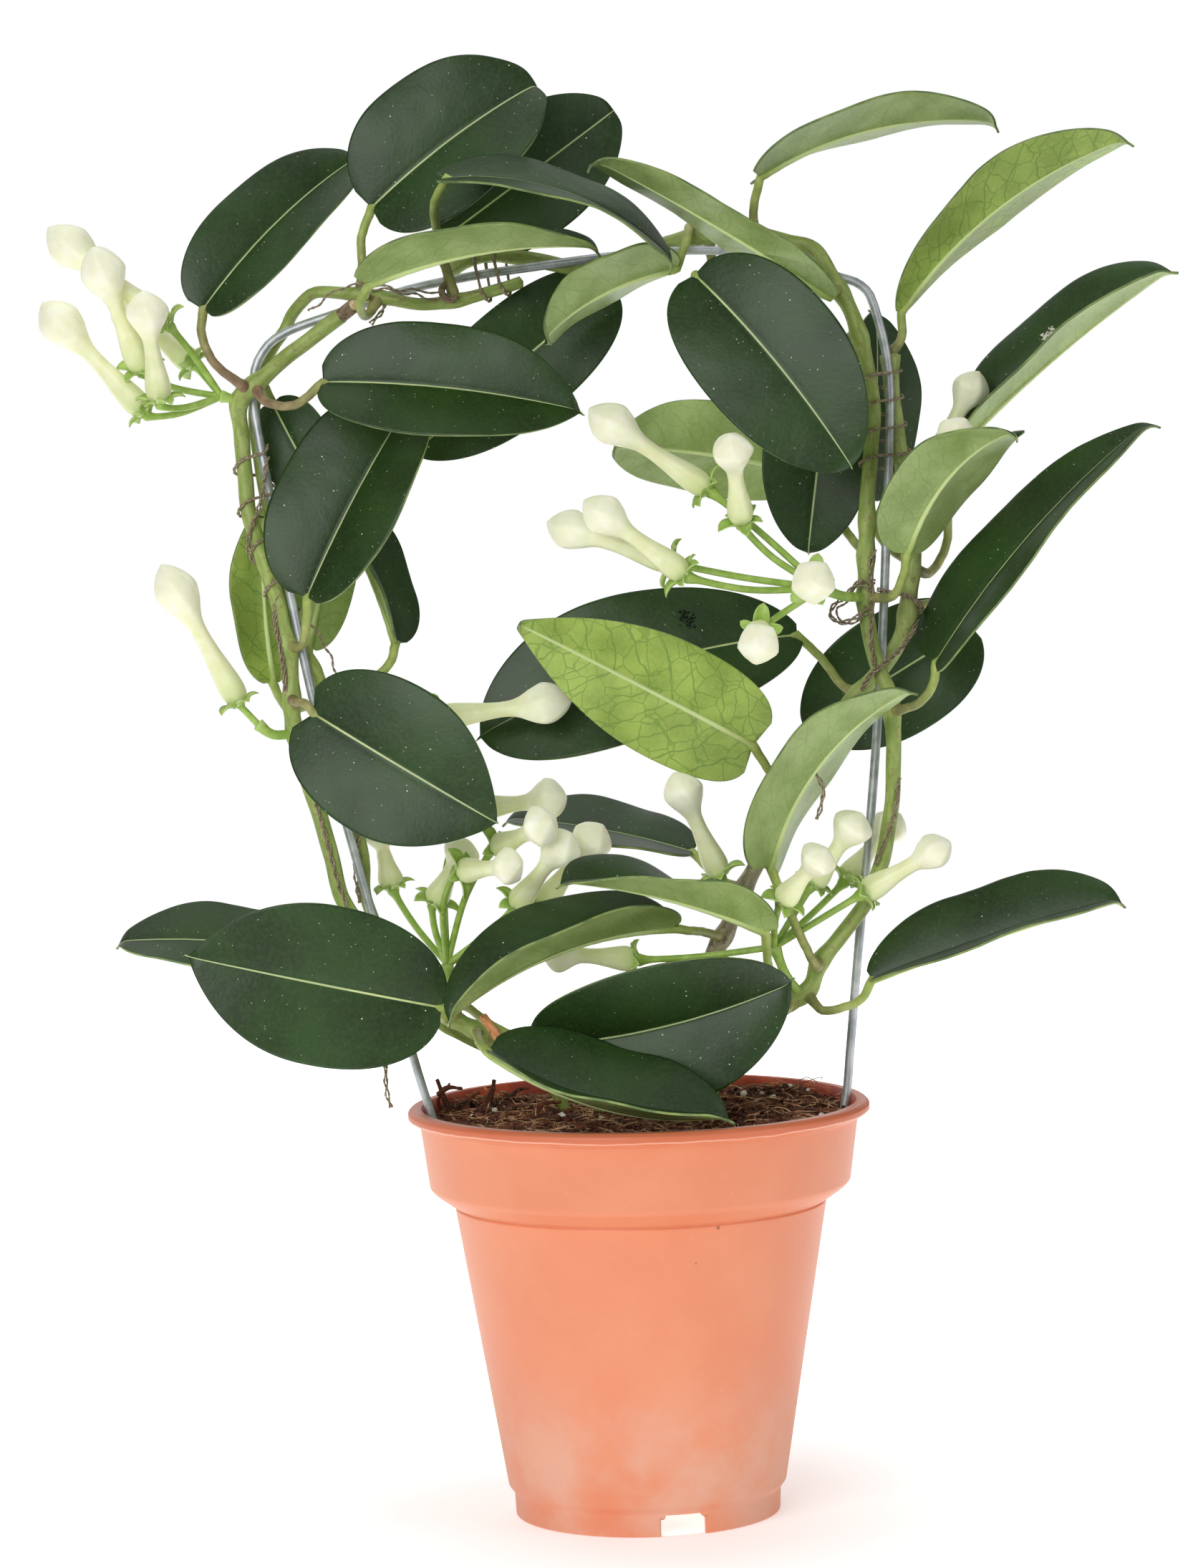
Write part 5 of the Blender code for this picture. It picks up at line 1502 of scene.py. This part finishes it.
def studio():
    scene = bpy.context.scene
    scene.view_settings.view_transform = "Standard"
    world = bpy.data.worlds.new("studio")
    scene.world = world
    world.use_nodes = True
    tree = world.node_tree
    background = tree.nodes["Background"]
    background.inputs["Color"].default_value = WHITE
    path = tree.nodes.new("ShaderNodeLightPath")
    level = tree.nodes.new("ShaderNodeMapRange")
    level.inputs["To Min"].default_value = WORLD_LIGHT
    level.inputs["To Max"].default_value = 1.0
    tree.links.new(path.outputs["Is Camera Ray"], level.inputs["Value"])
    tree.links.new(level.outputs[0], background.inputs["Strength"])
    for row in LIGHTS:
        light(*row)
    shape = bmesh.new()
    bmesh.ops.create_circle(shape, cap_ends=True, segments=64, radius=FLOOR_RADIUS)
    bmesh.ops.translate(shape, vec=FLOOR_MIDDLE, verts=shape.verts)
    floor = linked_shape("floor", shape)
    floor.location.z = -FLOOR_DROP
    paint = Paint("pale_floor", roughness=0.9)
    x, y, _ = paint.split(paint.where())
    away = paint.math("SQRT", paint.plus(paint.times(x, x), paint.times(y, y)))
    paint.give("Emission Color", WHITE)
    glow = paint.math("MULTIPLY_ADD", paint.band(away, *GLOW_REACH), 1.0 - GLOW_NEAR, GLOW_NEAR)
    # Painted light: the glow under the pot lights the notches from inside.
    under_pot = paint.times(paint.band(away, *FOOT_REACH), GLOW_UNDER_POT)
    paint.give("Emission Strength", paint.largest(glow, under_pot))
    floor.data.materials.append(paint.finish((0.94, 0.94, 0.94, 1.0)))


def main():
    camera()
    studio()
    joints = {name: [] for name in STEMS}
    for facts in [*LEAVES.values(), *BUDS.values()]:
        joints[facts[0]].append(stem_point(facts[0], facts[1][0]))
    green_bark = bark("green_bark", "#8AA04C", "#A9B96B", "#94845A", 0.55)
    woody_bark = bark("woody_bark", "#96A65B", "#B2C078", "#8A784C", 0.65, 0.195)
    for name in STEMS:
        stem(name, woody_bark if name == "stem_woody" else green_bark, joints[name])
    wire()
    twine = twine_paint()
    bars = {name: (smooth_path(points, 0.5), STEM_RADII[name]) for name, points in STEMS.items()}
    bars["wire_hoop"] = (smooth_path(HOOP, 0.5), WIRE_RADIUS)
    for name, (held, start, end, turns) in TWINES.items():
        shell = Shell()
        string(shell, wound([bars[bar] for bar in held], start, end, turns), STRAND_RADIUS)
        shell.build(name + "_string", [twine], "twine", [name])
    loose = Shell()
    for strands, points in LOOSE_STRING:
        twisted(loose, points, strands)
    loose.build("loose_string", [twine], "twine")
    dead = Shell()
    path = smooth_path(DEAD_STALK, 0.9)
    dead.tube(path, [DEAD_STALK_RADIUS * (1 + 0.12 * rough(p, 3, 4)) for p in path], 12)
    dry = bark("dry_stalk", "#C67E4D", "#F0B37E", "#7F4E33", 0.7)
    dead.build("stalk_dead_dry", [dry], "dry_stalk", ["stalk_dead"])
    cut_ends()
    paints = {"upper": leaf_upper(), "edge": leaf_edge()}
    plain = leaf_stalk("leaf_stalk", "#838350", "#A6A264", 0.42)
    russet = leaf_stalk("leaf_stalk_russet", "#7C6149", "#9C8264", 0.75)
    bold = leaf_under("leaf_under_bold", 0.85, "#A9C25A", "#8CA446")
    faint = leaf_under("leaf_under_faint", 0.36, "#A5BA76", "#8AA05A")
    for number, (name, (stem_name, bends, *facts)) in enumerate(LEAVES.items(), 1):
        paints["under"] = bold if name in BOLD_LEAVES else faint
        paints["stalk"] = russet if name in RUSSET_STALKS else plain
        leaf(name, stem_name, bends, facts, number * 3.7, paints)
    marks()
    cream, green = bud_cream(), bud_green()
    for name, facts in BUDS.items():
        spray(name, *facts, cream, green)
    pot(pot_outer(), pot_inner())
    soil()


main()
